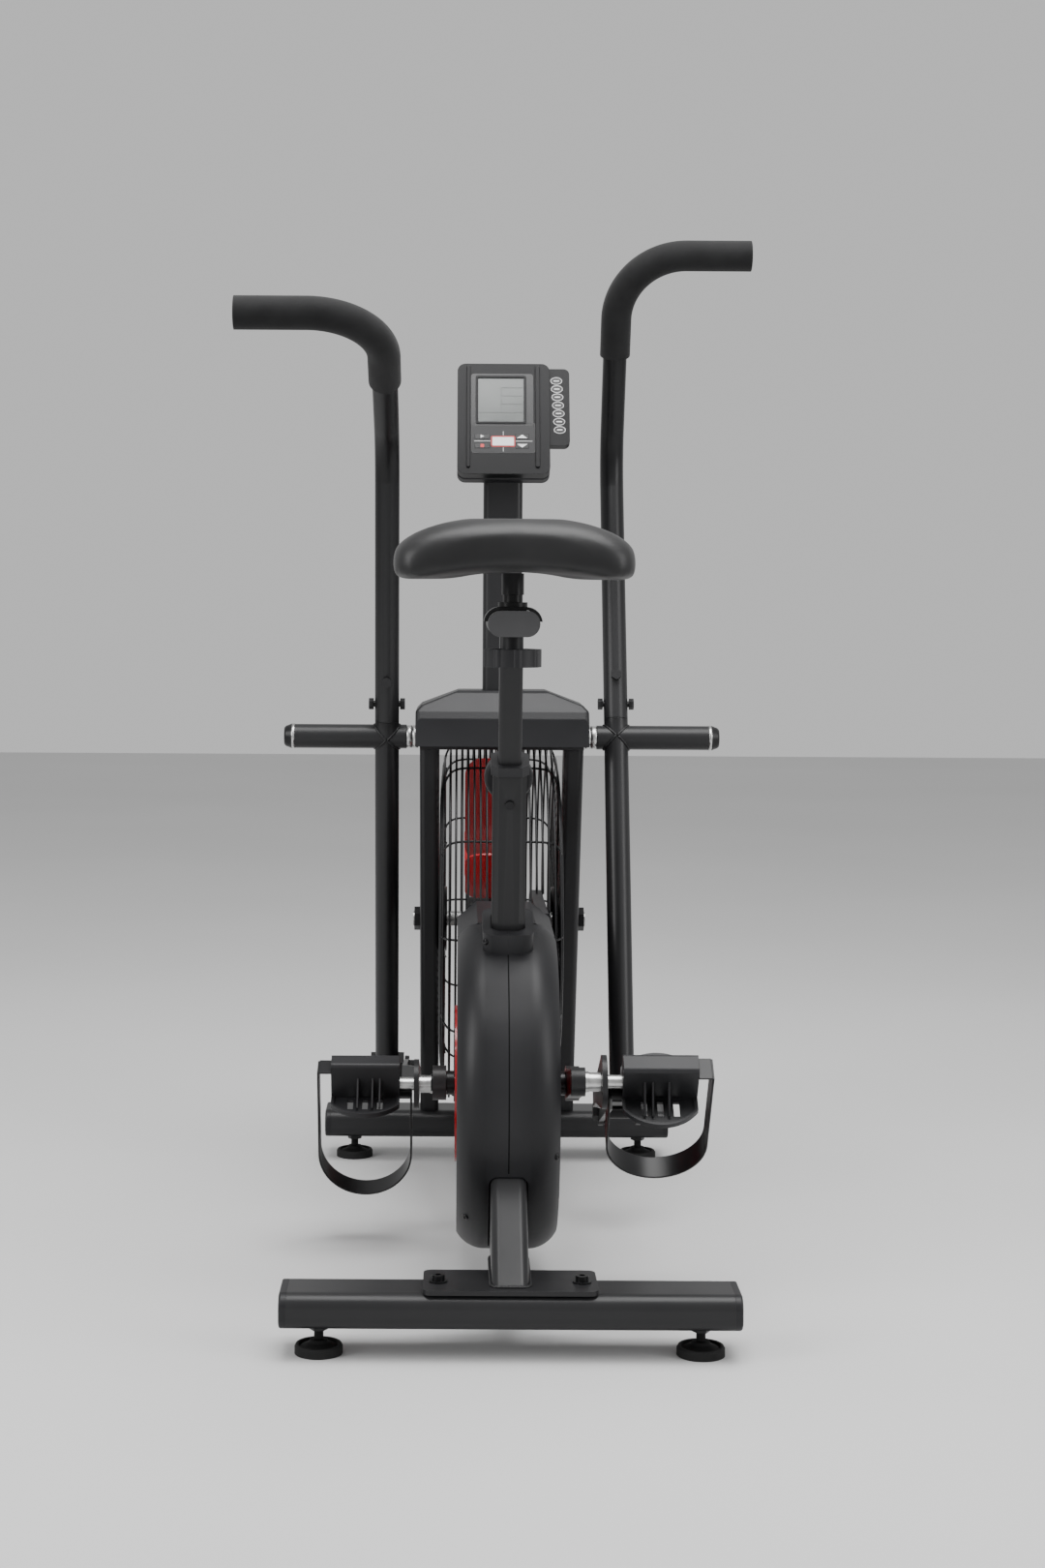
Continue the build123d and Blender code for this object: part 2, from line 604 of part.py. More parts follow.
def crank_arm(sx):
    py, pz = PEDAL[sx]
    dy, dz = (py - CRANK_Y) / CRANK_R, (pz - CRANK_Z) / CRANK_R
    ny, nz = -dz, dy
    x0, x1 = sorted((sx * 70.0, sx * 86.0))
    pts = [
        (CRANK_Y + ny * 18, CRANK_Z + nz * 18), (py + ny * 13, pz + nz * 13),
        (py - ny * 13, pz - nz * 13), (CRANK_Y - ny * 18, CRANK_Z - nz * 18),
    ]
    s = plate_x(pts, x0, x1) + rodx(CRANK_Y, CRANK_Z, x0, x1, 20) + rodx(py, pz, x0, x1, 16)
    s -= rodx(CRANK_Y, CRANK_Z, x0 - 2, x1 + 2, 10.02)
    s -= rodx(py, pz, x0 - 2, x1 + 2, 8.02)
    return s


NODES["crank_arm_left"] = crank_arm(-1)
NODES["crank_arm_right"] = crank_arm(1)

LINK_X0, LINK_X1 = 104.0, 110.0
PED_X0, PED_X1 = 127.5, 211.5
axles = []
for sx in (-1, 1):
    py, pz = PEDAL[sx]
    ax = rodx(py, pz, sx * 70, sx * 205, 8.0) + rodx(py, pz, sx * 86.2, sx * 90, 11.5) + rodx(py, pz, sx * 90, sx * 103.5, 10.6)
    axles.append(ax)
NODES["pedal_axles"] = group(*axles)

PED_TILT = {-1: 20.0, 1: 38.0}
PLATE_H, PLATE_HALF = 10.0, 52.0


def d_plate(x0, x1, half, z0, z1, inset_=0.0):
    # plate with bowed ends, seen from above
    w = x1 - x0
    pts_in = []
    xm = (x0 + x1) / 2
    ring = Polyline((x0, -30), (x0, 30))
    e1 = ThreePointArc((x0, 30), (xm, half), (x1, 30))
    e2 = Line((x1, 30), (x1, -30))
    e3 = ThreePointArc((x1, -30), (xm, -half), (x0, -30))
    face = make_face([Line((x0, -30), (x0, 30)), e1, e2, e3])
    return extrude(Plane.XY.offset(z0) * face, z1 - z0)


def pedal_local():
    # axle on the local X axis, foot side down (-Z)
    plate = d_plate(PED_X0, PED_X1, PLATE_HALF, -PLATE_H - 6, -PLATE_H)
    hollow = d_plate(PED_X0 + 4, PED_X1 - 4, PLATE_HALF - 4, -PLATE_H - 2.5, -PLATE_H + 1)
    rim = plate - hollow
    core = block(PED_X0, PED_X1, -13, 13, -PLATE_H - 3, 34)
    core = fillet(core.edges().filter_by(Axis.X).sort_by(Axis.Z)[-2:], 5)
    s = rim + core
    # tread slots in the plate, either side of the core
    for y in (-1, 1):
        for k in range(3):
            x = PED_X0 + 24 + k * 18
            s -= block(x - 3.5, x + 3.5, y * 18, y * 38, -PLATE_H - 8, -PLATE_H + 2)
    s -= rodx(0, 0, PED_X0 - 1, 207, 8.0 + CLEAR)
    return s


def strap_local():
    # toe strap: open loop hanging on the foot side, in the X, Z plane
    xm = (PED_X0 + PED_X1) / 2 + 1.0
    w0, t = 58.0, 2.2
    wide = 29.0
    z_top, z_bot = 24.0, -150.0

    def loop(w, zb):
        face = RectangleRounded(2 * w, 300, w - 0.5)
        return extrude(Plane.XZ.offset(-wide / 2) * Pos(xm, zb + 150) * face, wide)

    ring = loop(w0, z_bot) - loop(w0 - t, z_bot + t)
    zc_ = z_bot + w0 - 0.5                       # centre of the rounded bottom
    parts = []
    # the inner strand stops below the axle, hooked to the tread plate
    z_in = -PLATE_H
    parts.append(ring & block(xm - w0 - 1, xm - w0 / 2, -40, 40, zc_, z_in))
    parts.append(ring & block(xm + w0 / 2, xm + w0 + 1, -40, 40, zc_, z_top))
    n = 6
    for i in range(n):
        a0, a1 = math.pi + math.pi * i / n, math.pi + math.pi * (i + 1) / n
        wedge = extrude(
            Plane.XZ.offset(-wide)
            * make_face(Polyline((xm, zc_), (xm + 200 * math.cos(a0), zc_ + 200 * math.sin(a0)),
                                 (xm + 200 * math.cos(a1), zc_ + 200 * math.sin(a1)), close=True)),
            2 * wide,
        )
        parts.append(ring & wedge)
    # short straps folded in to the sides of the pedal core
    parts.append(block(PED_X1, xm + w0 - t, -wide / 2, wide / 2, z_top - t, z_top))
    parts.append(block(xm - w0 + t, PED_X0, -wide / 2, wide / 2, z_in - t, z_in))
    return parts


def place_pedal(s, sx):
    py, pz = PEDAL[sx]
    s = Rot(PED_TILT[sx], 0, 0) * s
    if sx < 0:
        s = mirror_x(s)
    return Pos(0, py, pz) * s


ped, strap = pedal_local(), strap_local()
strap = [k for q in strap for k in (q - ped).solids() if k.volume > 50]
for sx, tag in ((-1, "left"), (1, "right")):
    NODES["pedal_" + tag] = place_pedal(ped, sx)
    NODES["toe_strap_" + tag] = group(*[place_pedal(k, sx) for k in strap])


# ---------------------------------------------------------------- link rods
def link_local():
    x0, x1 = LINK_X0, LINK_X1
    j = 19.5
    pts = [
        (x0, 0), (x1, 0), (x1, 165), (x1 + j, 205), (x1 + j, LINK_L), (x0 + j, LINK_L), (x0 + j, 207), (x0, 167),
    ]
    s = extrude(Plane.XY.offset(-13) * make_face(Polyline(*pts, close=True)), 26)
    s = s + rodx(0, 0, x0, x1, 30)
    s = s + plate_x([(0, 29.5), (110, 13), (110, -13), (0, -29.5)], x0, x1)
    s = s + rodx(LINK_L, 0, x0 + j, x1 + j, 17)
    s = s + rodx(LINK_L, 0, x0 + j - 6, x1 + j + 0.9, 8)
    s = s + hex_bar((x0 + j - 7, LINK_L, 0), (x0 + j, LINK_L, 0), 19)
    s -= rodx(0, 0, x0 - 2, x1 + 2, 8.0 + CLEAR)
    return s


lk = link_local()
for sx, tag in ((-1, "left"), (1, "right")):
    py, pz = PEDAL[sx]
    jy, jz = JOINT[sx]
    ang = math.degrees(math.atan2(jz - pz, jy - py))
    s = Rot(ang, 0, 0) * lk
    if sx < 0:
        s = mirror_x(s)
    NODES["link_" + tag] = Pos(0, py, pz) * s

# ---------------------------------------------------------------- arm levers
for sx, tag in ((-1, "left"), (1, "right")):
    jy, jz = JOINT[sx]
    piv = Vector(sx * ARM_X, PIVOT_Y, PIVOT_Z)
    low = Vector(sx * (ARM_X + 1.5), jy, jz)
    au = Vector(0, piv.Y - low.Y, piv.Z - low.Z).normalized()      # up along the arm
    back = math.radians(45)
    # direction after the bend: turned towards the rider
    bu = Vector(0, au.Y * math.cos(back) - au.Z * math.sin(back), au.Y * math.sin(back) + au.Z * math.cos(back))

    p_low = low + au * 16
    p_stub = piv + au * 24
    lower = rod(tuple(p_low), tuple(p_stub), TUBE_R) - rod(tuple(p_low - au * 5), tuple(piv - au * 40), 13.5)
    # the stub follows the handlebar's own axis, which leans 1.5 mm inwards
    bar_start = piv + au * 24.5
    bar_dir = (piv + au * ARM_UP + Vector(-sx * 1.5, 0, 0) - bar_start).normalized()
    stub = rod(tuple(bar_start - bar_dir * 24.5), tuple(bar_start + bar_dir * 75.5), 13.9)
    peg = rodx(PIVOT_Y, PIVOT_Z, sx * 127, sx * PEG_END, TUBE_R)
    arm = lower + stub
    arm -= rod(tuple(piv + au * 34), tuple(piv + au * 110), 11.5)
    # fork at the lower end
    x_in, x_out = sx * 131.0, sx * 176.0
    for xa, xb in ((131.0, 137.5), (170.5, 177.0)):
        a0, b0_ = sorted((sx * xa, sx * xb))
        lug = rodx(jy, jz, a0, b0_, 16)
        up_ = low + au * 16
        nrm = Vector(0, -au.Z, au.Y)
        q = [low + nrm * 16, up_ + nrm * 16, up_ - nrm * 16, low - nrm * 16]
        lug = lug + plate_x([(v.Y, v.Z) for v in q], a0, b0_)
        arm = arm + lug
    bx0, bx1 = sorted((sx * 131.0, sx * 177.0))
    n2 = Vector(0, -au.Z, au.Y)
    q = [low + au * 11.5 + n2 * 16, low + au * 16 + n2 * 16, low + au * 16 - n2 * 16, low + au * 11.5 - n2 * 16]
    arm = arm + plate_x([(v.Y, v.Z) for v in q], bx0, bx1)
    arm = arm + rodx(jy, jz, sx * 131.0, sx * 183, 8)
    arm = arm + hex_bar((sx * 177, jy, jz), (sx * 184, jy, jz), 19)
    # bolt holes through stub, bolts, spacer rings and peg cap
    cb, rb = piv + au * 46, piv + au * 82
    cx0, cx1 = sx * (ARM_X - 26), sx * (ARM_X + 26)
    arm -= rod((cb.X - 30, cb.Y, cb.Z), (cb.X + 30, cb.Y, cb.Z), 4.05)
    nb = Vector(0, -au.Z, au.Y)                                    # towards the rider
    if nb.Y > 0:
        nb = nb * -1
    arm -= rod(tuple(rb - nb * 30), tuple(rb + nb * 30), 4.05)
    arm -= peg
    arm = [k for k in arm.solids() if k.volume > 3000]
    peg_tube = peg - rodx(PIVOT_Y, PIVOT_Z, sx * 120, sx * (PEG_END + 5), 12.5 + CLEAR)
    cross_bolt = rod((cb.X - 19.5, cb.Y, cb.Z), (cb.X + 19.5, cb.Y, cb.Z), 4.0)
    cross_bolt = cross_bolt + hex_bar((cb.X - sx * 24, cb.Y, cb.Z), (cb.X - sx * 17.6, cb.Y, cb.Z), 13)
    cross_bolt = cross_bolt + hex_bar((cb.X + sx * 17.6, cb.Y, cb.Z), (cb.X + sx * 24, cb.Y, cb.Z), 13)
    rear_bolt = rod(tuple(rb + nb * 2), tuple(rb + nb * 19), 4.0) + hex_bar(tuple(rb + nb * 17.6), tuple(rb + nb * 23), 13)
    rings = [
        rodx(PIVOT_Y, PIVOT_Z, sx * a, sx * b, r) - rodx(PIVOT_Y, PIVOT_Z, sx * (a - 1), sx * (b + 1), 12.5 + CLEAR)
        for a, b, r in ((111.5, 118.5, 15.0), (119.5, 126.5, 15.0), (PEG_END + 0.1, PEG_END + 4, 16.5))
    ]
    capx = [(PEG_END + 4.1, 15.5), (PEG_END + 14, 12.5)]
    cap_plane = Plane(origin=(0, PIVOT_Y, PIVOT_Z), x_dir=(1, 0, 0), z_dir=(0, -1, 0))
    cap_face = make_face(
        Polyline((sx * (PEG_END + 4.1), 0), (sx * (PEG_END + 4.1), 16.5), (sx * (PEG_END + 12), 13.5), (sx * (PEG_END + 14), 11.5), (sx * (PEG_END + 14), 0), close=True)
    )
    peg_cap = revolve(cap_plane * cap_face, Axis((0, PIVOT_Y, PIVOT_Z), (1, 0, 0)))
    NODES["arm_" + tag] = group(*arm, peg_tube, cross_bolt, rear_bolt, *rings, peg_cap)

    # handlebar: straight, bent back 45 degrees, then turned outwards
    s0 = piv + au * 24.5
    B = piv + au * ARM_UP + Vector(-sx * 1.5, 0, 0)
    C = B + bu * ARM_BACK + Vector(-sx * 1.0, 0, 0)
    D = Vector(sx * (GRIP_END - 2), C.Y, C.Z)
    path = FilletPolyline(s0, B, C, D, radius=[110, 90])
    sec = Plane(origin=path @ 0, z_dir=path % 0)
    hb = sweep(sec * Circle(TUBE_R), path=path) - sweep(sec * Circle(14.0), path=path)
    hb -= rod((cb.X - 30, cb.Y, cb.Z), (cb.X + 30, cb.Y, cb.Z), 4.05)
    hb -= rod(tuple(rb), tuple(rb + nb * 30), 4.05)
    NODES["handlebar_" + tag] = hb
    # foam grip sleeve with a closed end
    G0 = B + bu * 155 + Vector(-sx * 0.5, 0, 0)
    E = Vector(sx * (GRIP_END - 3.5), C.Y, C.Z)
    gp = FilletPolyline(G0, C, E, radius=90)
    gs = Plane(origin=gp @ 0, z_dir=gp % 0)
    gout = sweep(gs * Circle(20.3), path=gp)
    hbp = FilletPolyline(s0, B, C, D, radius=[110, 90])
    gin = sweep(Plane(origin=hbp @ 0, z_dir=hbp % 0) * Circle(TUBE_R + 0.15), path=hbp)
    g = gout - gin
    g = max(g.solids(), key=lambda k: k.volume)
    endcap = rodx(C.Y, C.Z, sx * (GRIP_END - 1.9), sx * GRIP_END, 20.3)
    side_ring = rodx(C.Y, C.Z, sx * (GRIP_END - 3.6), sx * (GRIP_END - 1.8), 20.3) - rodx(C.Y, C.Z, sx * (GRIP_END - 6), sx * (GRIP_END), TUBE_R + 0.15)
    NODES["grip_" + tag] = Part() + g + side_ring + endcap

# ---------------------------------------------------------------- seat post, rail, saddle
RAIL_Z, RAIL_W, RAIL_H = 775.0, 55.5, 28.0
RAIL_Y0, RAIL_Y1 = -8.0, 150.0
SAD_Y = 52.0
SLIDE_TRAVEL = (-34.0, 10.0)


def rail_bar(y0, y1, w, h, r):
    return bar((0, y0, RAIL_Z), (0, y1, RAIL_Z), w, h, r)


post_in = seat_bar(185, POST_T1 + 20, 26, 36, 5)
post_in -= seat_bar(180, POST_T1 + 30, 22, 32, 3)
slot_box = extrude(Plane(origin=along(205, 19), x_dir=(1, 0, 0), z_dir=SDIR) * Rectangle(11.4, 12), 300)
post_in -= slot_box
rail = rail_bar(RAIL_Y0, RAIL_Y1, RAIL_W, RAIL_H, 13.9) - rail_bar(RAIL_Y0 - 5, RAIL_Y1 + 5, RAIL_W - 4, RAIL_H - 4, 11.9)
rail_env = rail_bar(RAIL_Y0, RAIL_Y1, RAIL_W, RAIL_H, 13.9)
post_in -= rail_env
post_in = biggest(post_in)
for z0, z1 in ((RAIL_Z - 20, RAIL_Z - 5), (RAIL_Z + 5, RAIL_Z + 20)):
    rail -= block(-6.4, 6.4, SAD_Y + SLIDE_TRAVEL[0] - 6.4, SAD_Y + SLIDE_TRAVEL[1] + 6.4, z0, z1)
NODES["seat_post"] = group(Part() + post_in, rail)
cap_l = rail_bar(RAIL_Y0 - 6, RAIL_Y0 - 0.05, RAIL_W, RAIL_H, 13.9) + rail_bar(RAIL_Y0 - 0.05, RAIL_Y0 + 8, RAIL_W - 4.3, RAIL_H - 4.3, 11.7)
cap_r = rail_bar(RAIL_Y1 + 0.05, RAIL_Y1 + 6, RAIL_W, RAIL_H, 13.9) + rail_bar(RAIL_Y1 - 8, RAIL_Y1 + 0.05, RAIL_W - 4.3, RAIL_H - 4.3, 11.7)
NODES["rail_caps"] = group(cap_l, cap_r)

hood = rail_bar(SAD_Y - 30, SAD_Y + 30, RAIL_W + 7.6, RAIL_H + 7.6, 17.6) - rail_bar(SAD_Y - 40, SAD_Y + 40, RAIL_W + 0.6, RAIL_H + 0.6, 14.2)
hood &= block(-60, 60, SAD_Y - 40, SAD_Y + 40, RAIL_Z + 2, RAIL_Z + 40)
hood_top = RAIL_Z + RAIL_H / 2 + 3.8
stem = rod((0, SAD_Y, hood_top - 2), (0, SAD_Y, hood_top + 5), 16) + rod((0, SAD_Y, hood_top + 5), (0, SAD_Y, hood_top + 13), 10.7)
stem = stem + rod((0, SAD_Y, hood_top + 13), (0, SAD_Y, 829), 12.1)
bolt = rod((0, SAD_Y, 736), (0, SAD_Y, hood_top), 6.0)
NODES["saddle_carriage"] = hood + stem + bolt

# star knob under the rail
KNOB_Z0, KNOB_Z1 = 727.6, 747.0
star = rod((0, SAD_Y, KNOB_Z0), (0, SAD_Y, KNOB_Z1), 30.5)
for i in range(8):
    a = math.radians(45 * i + 10)
    star = star + rod((32 * math.cos(a) * 0.78, SAD_Y + 32 * math.sin(a) * 0.78, KNOB_Z0), (32 * math.cos(a) * 0.78, SAD_Y + 32 * math.sin(a) * 0.78, KNOB_Z1), 7.0)
star = star + rod((0, SAD_Y, KNOB_Z1 - 1), (0, SAD_Y, RAIL_Z - RAIL_H / 2 - 0.4), 11.8)
star -= rod((0, SAD_Y, 735), (0, SAD_Y, 800), 6.0 + CLEAR)
NODES["carriage_knob"] = star

# saddle pad: plain closed cushion
out = [(0, 212), (-26, 204), (-34, 180), (-40, 140), (-56, 100), (-90, 66), (-122, 36), (-134, 0), (-129, -32), (-100, -52), (-50, -58), (0, -58)]
right = [(-x, y) for x, y in out[::-1]][1:-1]
outline = out + right
pad = extrude(Plane.XY.offset(820) * make_face(Polyline(*outline, close=True)), 66)
pad = chamfer(pad.faces().sort_by(Axis.Z)[-1].edges(), 18)
pad -= block(-70, 70, -44, 196, 800, 829.0)
pad &= block(-200, 200, -100, 300, 800, 900)
NODES["saddle_pad"] = biggest(pad)

# pop pin with its pull knob
kn0, kn1 = 44.0, 62.0
pin = rod(along(T_PIN, 15), along(T_PIN, kn0 + 1), 5.0)
knob = rod(along(T_PIN, kn0), along(T_PIN, kn1), 28)
knob = fillet(knob.edges(), 4)
NODES["pop_pin"] = pin + knob

# ---------------------------------------------------------------- console
tau = math.radians(20)
CN = Vector(0, -math.cos(tau), math.sin(tau))      # out of the screen
CV = Vector(0, math.sin(tau), math.cos(tau))       # up the screen
CO = Vector(0, 634, 1038.5)


def cpl(n):
    # plane parallel to the screen, n in front of it; local x is X, local y is up the screen
    return Plane(origin=CO + CN * n, x_dir=(1, 0, 0), z_dir=CN)


def cbox(x0, x1, v0, v1, n0, n1, r=None):
    w, h = x1 - x0, v1 - v0
    f = Rectangle(w, h) if r is None else RectangleRounded(w, h, r)
    return extrude(cpl(n0) * Pos((x0 + x1) / 2, (v0 + v1) / 2) * f, n1 - n0)


front = cbox(-61.5, 61.5, -78, 82, -14, 0, 11) + cbox(50, 88, -36, 76, -14, -3, 8)
front -= cbox(-58.5, 58.5, -75, 79, -20, -3, 8)
front -= cbox(58, 85, -33, 73, -20, -6, 5)
LCD = (-34.0, 27.0, -3.0, 61.0)
front -= cbox(*LCD, -10, 5)
KEYS = {
    "enter_key": (-15.0, 13.6, -37.5, -25.3),
    "up_key": (16.0, 33.0, -27.5, -21.0),
    "down_key": (16.0, 33.0, -41.0, -34.5),
    "start_key": (-38.0, -18.5, -27.5, -21.0),
    "stop_key": (-38.0, -18.5, -41.0, -34.5),
}
for k, (x0, x1, v0, v1) in KEYS.items():
    front -= cbox(x0 - 0.25, x1 + 0.25, v0 - 0.25, v1 + 0.25, -10, 5)
NODES["console_front"] = front
NODES["console_lens"] = cbox(LCD[0] + 0.1, LCD[1] - 0.1, LCD[2] + 0.1, LCD[3] - 0.1, -2.5, -0.5)
for k, (x0, x1, v0, v1) in KEYS.items():
    NODES[k] = cbox(x0, x1, v0, v1, -2.8, 0.6)
back_shell = cbox(-61.5, 61.5, -78, 82, -36, -14.05, 11)
back_shell = chamfer(back_shell.faces().sort_by(Axis.Y)[-1].edges(), 5)
back_shell -= cbox(-58.5, 58.5, -75, 79, -32, -10, 8)
back_shell -= extrude(Plane.XY.offset(CROSS_TOP) * Pos(0, mast_y) * RectangleRounded(52.4, 40.4, 9.2), 332)
NODES["console_back"] = biggest(back_shell)

# ---------------------------------------------------------------- write
lo = [1e9] * 3
hi = [-1e9] * 3
for s in NODES.values():
    bb = s.bounding_box()
    for i, (a, b) in enumerate(zip(tuple(bb.min), tuple(bb.max))):
        lo[i], hi[i] = min(lo[i], a), max(hi[i], b)
SHIFT = (-(lo[0] + hi[0]) / 2, -(lo[1] + hi[1]) / 2, -lo[2])
BOX = [hi[i] - lo[i] for i in range(3)]

os.makedirs("parts", exist_ok=True)
for name, s in NODES.items():
    export_step(Pos(*SHIFT) * s, "parts/" + name + ".step")
print("nodes", len(NODES), "shift", [round(v, 3) for v in SHIFT], "box", [round(v, 1) for v in BOX])
print("swing", {k: round(v, 3) for k, v in SWING.items()}, "joint", JOINT, "pedal", PEDAL)
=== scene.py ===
import json
import math

import bmesh
import bpy
from mathutils import Matrix, Vector
from mathutils.bvhtree import BVHTree


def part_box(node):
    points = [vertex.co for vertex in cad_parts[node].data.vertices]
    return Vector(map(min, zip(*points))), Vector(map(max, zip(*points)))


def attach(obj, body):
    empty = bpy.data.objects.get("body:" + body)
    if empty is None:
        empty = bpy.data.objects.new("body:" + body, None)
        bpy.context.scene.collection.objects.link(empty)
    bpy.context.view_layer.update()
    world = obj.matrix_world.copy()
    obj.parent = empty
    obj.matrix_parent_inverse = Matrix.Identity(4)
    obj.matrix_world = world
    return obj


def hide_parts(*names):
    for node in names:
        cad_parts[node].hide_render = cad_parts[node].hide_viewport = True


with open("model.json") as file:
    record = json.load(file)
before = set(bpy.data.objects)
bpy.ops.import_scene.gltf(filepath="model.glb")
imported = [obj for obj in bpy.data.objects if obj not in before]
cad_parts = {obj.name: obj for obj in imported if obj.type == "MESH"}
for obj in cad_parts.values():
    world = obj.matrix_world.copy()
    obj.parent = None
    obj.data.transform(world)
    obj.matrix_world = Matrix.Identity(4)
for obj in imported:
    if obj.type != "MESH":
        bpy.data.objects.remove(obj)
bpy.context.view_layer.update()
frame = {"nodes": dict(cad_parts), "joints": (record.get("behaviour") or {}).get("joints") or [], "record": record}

NODES = frame["nodes"]
NODE_SLOT = {p["node"]: p["material_slot"] for p in frame["record"]["subparts"]}


# ------------------------------------------------------------------ materials
def new_mat(name):
    m = bpy.data.materials.new(name)
    m.use_nodes = True
    nt = m.node_tree
    b = nt.nodes["Principled BSDF"]
    return m, nt, b


def surface(name, dark, light, rough, metal=0.0, grain=900.0, bump=0.15, bump_mm=0.1,
            blotch=9.0, rough_var=0.08, wear=0.0, coat=0.0, edge=0.0, stretch=None, sheen=0.0, spec=0.5):
    """Procedural surface: two tones in soft blotches, fine grain bump, uneven gloss, light worn edges."""
    m, nt, b = new_mat(name)
    n, l = nt.nodes, nt.links
    tc = n.new("ShaderNodeTexCoord")
    src = tc.outputs["Object"]
    if stretch:
        mp = n.new("ShaderNodeMapping")
        mp.inputs["Scale"].default_value = stretch
        l.new(src, mp.inputs["Vector"])
        src = mp.outputs["Vector"]
    big = n.new("ShaderNodeTexNoise")
    big.inputs["Scale"].default_value = blotch
    big.inputs["Detail"].default_value = 5
    l.new(tc.outputs["Object"], big.inputs["Vector"])
    fine = n.new("ShaderNodeTexNoise")
    fine.inputs["Scale"].default_value = grain
    fine.inputs["Detail"].default_value = 2
    l.new(src, fine.inputs["Vector"])
    ramp = n.new("ShaderNodeValToRGB")
    ramp.color_ramp.elements[0].position = 0.3
    ramp.color_ramp.elements[1].position = 0.72
    ramp.color_ramp.elements[0].color = (*dark, 1)
    ramp.color_ramp.elements[1].color = (*light, 1)
    l.new(big.outputs["Fac"], ramp.inputs["Fac"])
    col = ramp.outputs["Color"]
    if wear > 0:
        geo = n.new("ShaderNodeNewGeometry")
        wr = n.new("ShaderNodeMapRange")
        wr.inputs["From Min"].default_value = 0.53
        wr.inputs["From Max"].default_value = 0.62
        wr.inputs["To Max"].default_value = wear
        l.new(geo.outputs["Pointiness"], wr.inputs["Value"])
        mx = n.new("ShaderNodeMix")
        mx.data_type = "RGBA"
        l.new(wr.outputs["Result"], mx.inputs["Factor"])
        l.new(col, mx.inputs["A"])
        mx.inputs["B"].default_value = (min(1, light[0] * 3 + 0.03), min(1, light[1] * 3 + 0.03), min(1, light[2] * 3 + 0.03), 1)
        col = mx.outputs["Result"]
    l.new(col, b.inputs["Base Color"])
    rr = n.new("ShaderNodeMapRange")
    rr.inputs["To Min"].default_value = max(0.02, rough - rough_var)
    rr.inputs["To Max"].default_value = min(1.0, rough + rough_var)
    l.new(big.outputs["Fac"], rr.inputs["Value"])
    l.new(rr.outputs["Result"], b.inputs["Roughness"])
    bp = n.new("ShaderNodeBump")
    bp.inputs["Strength"].default_value = bump
    bp.inputs["Distance"].default_value = bump_mm / 1000
    l.new(fine.outputs["Fac"], bp.inputs["Height"])
    if edge > 0:
        bv = n.new("ShaderNodeBevel")
        bv.samples = 4
        bv.inputs["Radius"].default_value = edge / 1000
        l.new(bv.outputs["Normal"], bp.inputs["Normal"])
    l.new(bp.outputs["Normal"], b.inputs["Normal"])
    b.inputs["Metallic"].default_value = metal
    b.inputs["Specular IOR Level"].default_value = spec
    if coat:
        b.inputs["Coat Weight"].default_value = coat
        b.inputs["Coat Roughness"].default_value = 0.08
    if sheen:
        b.inputs["Sheen Weight"].default_value = sheen
        b.inputs["Sheen Roughness"].default_value = 0.5
    return m


MAT = {
    "black_steel": surface("powder_coat_black", (0.0045, 0.0045, 0.005), (0.0085, 0.0085, 0.0092), 0.34, grain=1500, bump=0.25, bump_mm=0.12, wear=0.22, edge=0.6, spec=0.24),
    "black_hardware": surface("blackened_fastener", (0.006, 0.006, 0.0065), (0.014, 0.014, 0.015), 0.30, metal=0.6, grain=900, bump=0.12, bump_mm=0.06, blotch=80, edge=0.3),
    "cage_wire": surface("wire_black", (0.004, 0.004, 0.0045), (0.008, 0.008, 0.009), 0.32, grain=1500, bump=0.1, bump_mm=0.05, spec=0.22),
    "grey_plastic": surface("moulded_plastic", (0.0075, 0.0075, 0.0085), (0.013, 0.013, 0.0145), 0.42, grain=1100, bump=0.35, bump_mm=0.14, wear=0.12, edge=0.8, spec=0.27),
    "console_face": surface("console_plastic", (0.0055, 0.0055, 0.006), (0.0100, 0.0100, 0.0110), 0.36, grain=1300, bump=0.2, bump_mm=0.1, edge=0.8, spec=0.2),
    "red_gloss": surface("red_moulding", (0.34, 0.004, 0.008), (0.50, 0.008, 0.014), 0.22, grain=400, bump=0.05, bump_mm=0.1, coat=0.35, rough_var=0.05, edge=0.5),
    "zinc": surface("zinc_plate", (0.42, 0.42, 0.42), (0.66, 0.66, 0.65), 0.3, metal=1.0, grain=700, bump=0.12, bump_mm=0.05, blotch=120, edge=0.3, stretch=(0.2, 1, 1)),
    "pulley_plastic": surface("pulley_plastic", (0.012, 0.012, 0.012), (0.020, 0.020, 0.020), 0.5, grain=900, bump=0.2, bump_mm=0.1, edge=0.5),
    "rubber": surface("foot_rubber", (0.006, 0.006, 0.006), (0.013, 0.013, 0.013), 0.70, grain=800, bump=0.4, bump_mm=0.2, wear=0.15, edge=0.5, spec=0.18),
    "foam": surface("grip_foam", (0.0065, 0.0065, 0.0068), (0.013, 0.013, 0.0135), 0.74, grain=1700, bump=0.6, bump_mm=0.3, blotch=30, sheen=0.10, edge=1.0, spec=0.14),
    "strap": surface("strap_rubber", (0.0055, 0.0055, 0.006), (0.011, 0.011, 0.012), 0.36, grain=900, bump=0.2, bump_mm=0.1, spec=0.28),
    "saddle_skin": surface("saddle_vinyl", (0.0070, 0.0070, 0.0075), (0.0125, 0.0125, 0.0130), 0.42, grain=1200, bump=0.35, bump_mm=0.15, blotch=14, sheen=0.05, spec=0.3),
    "lcd": surface("lcd_window", (0.070, 0.078, 0.075), (0.092, 0.100, 0.097), 0.22, grain=300, bump=0.02, bump_mm=0.02, blotch=20, coat=0.3),
    "keycap": surface("key_white", (0.62, 0.62, 0.62), (0.74, 0.74, 0.74), 0.4, grain=900, bump=0.1, bump_mm=0.05, edge=0.3),
}
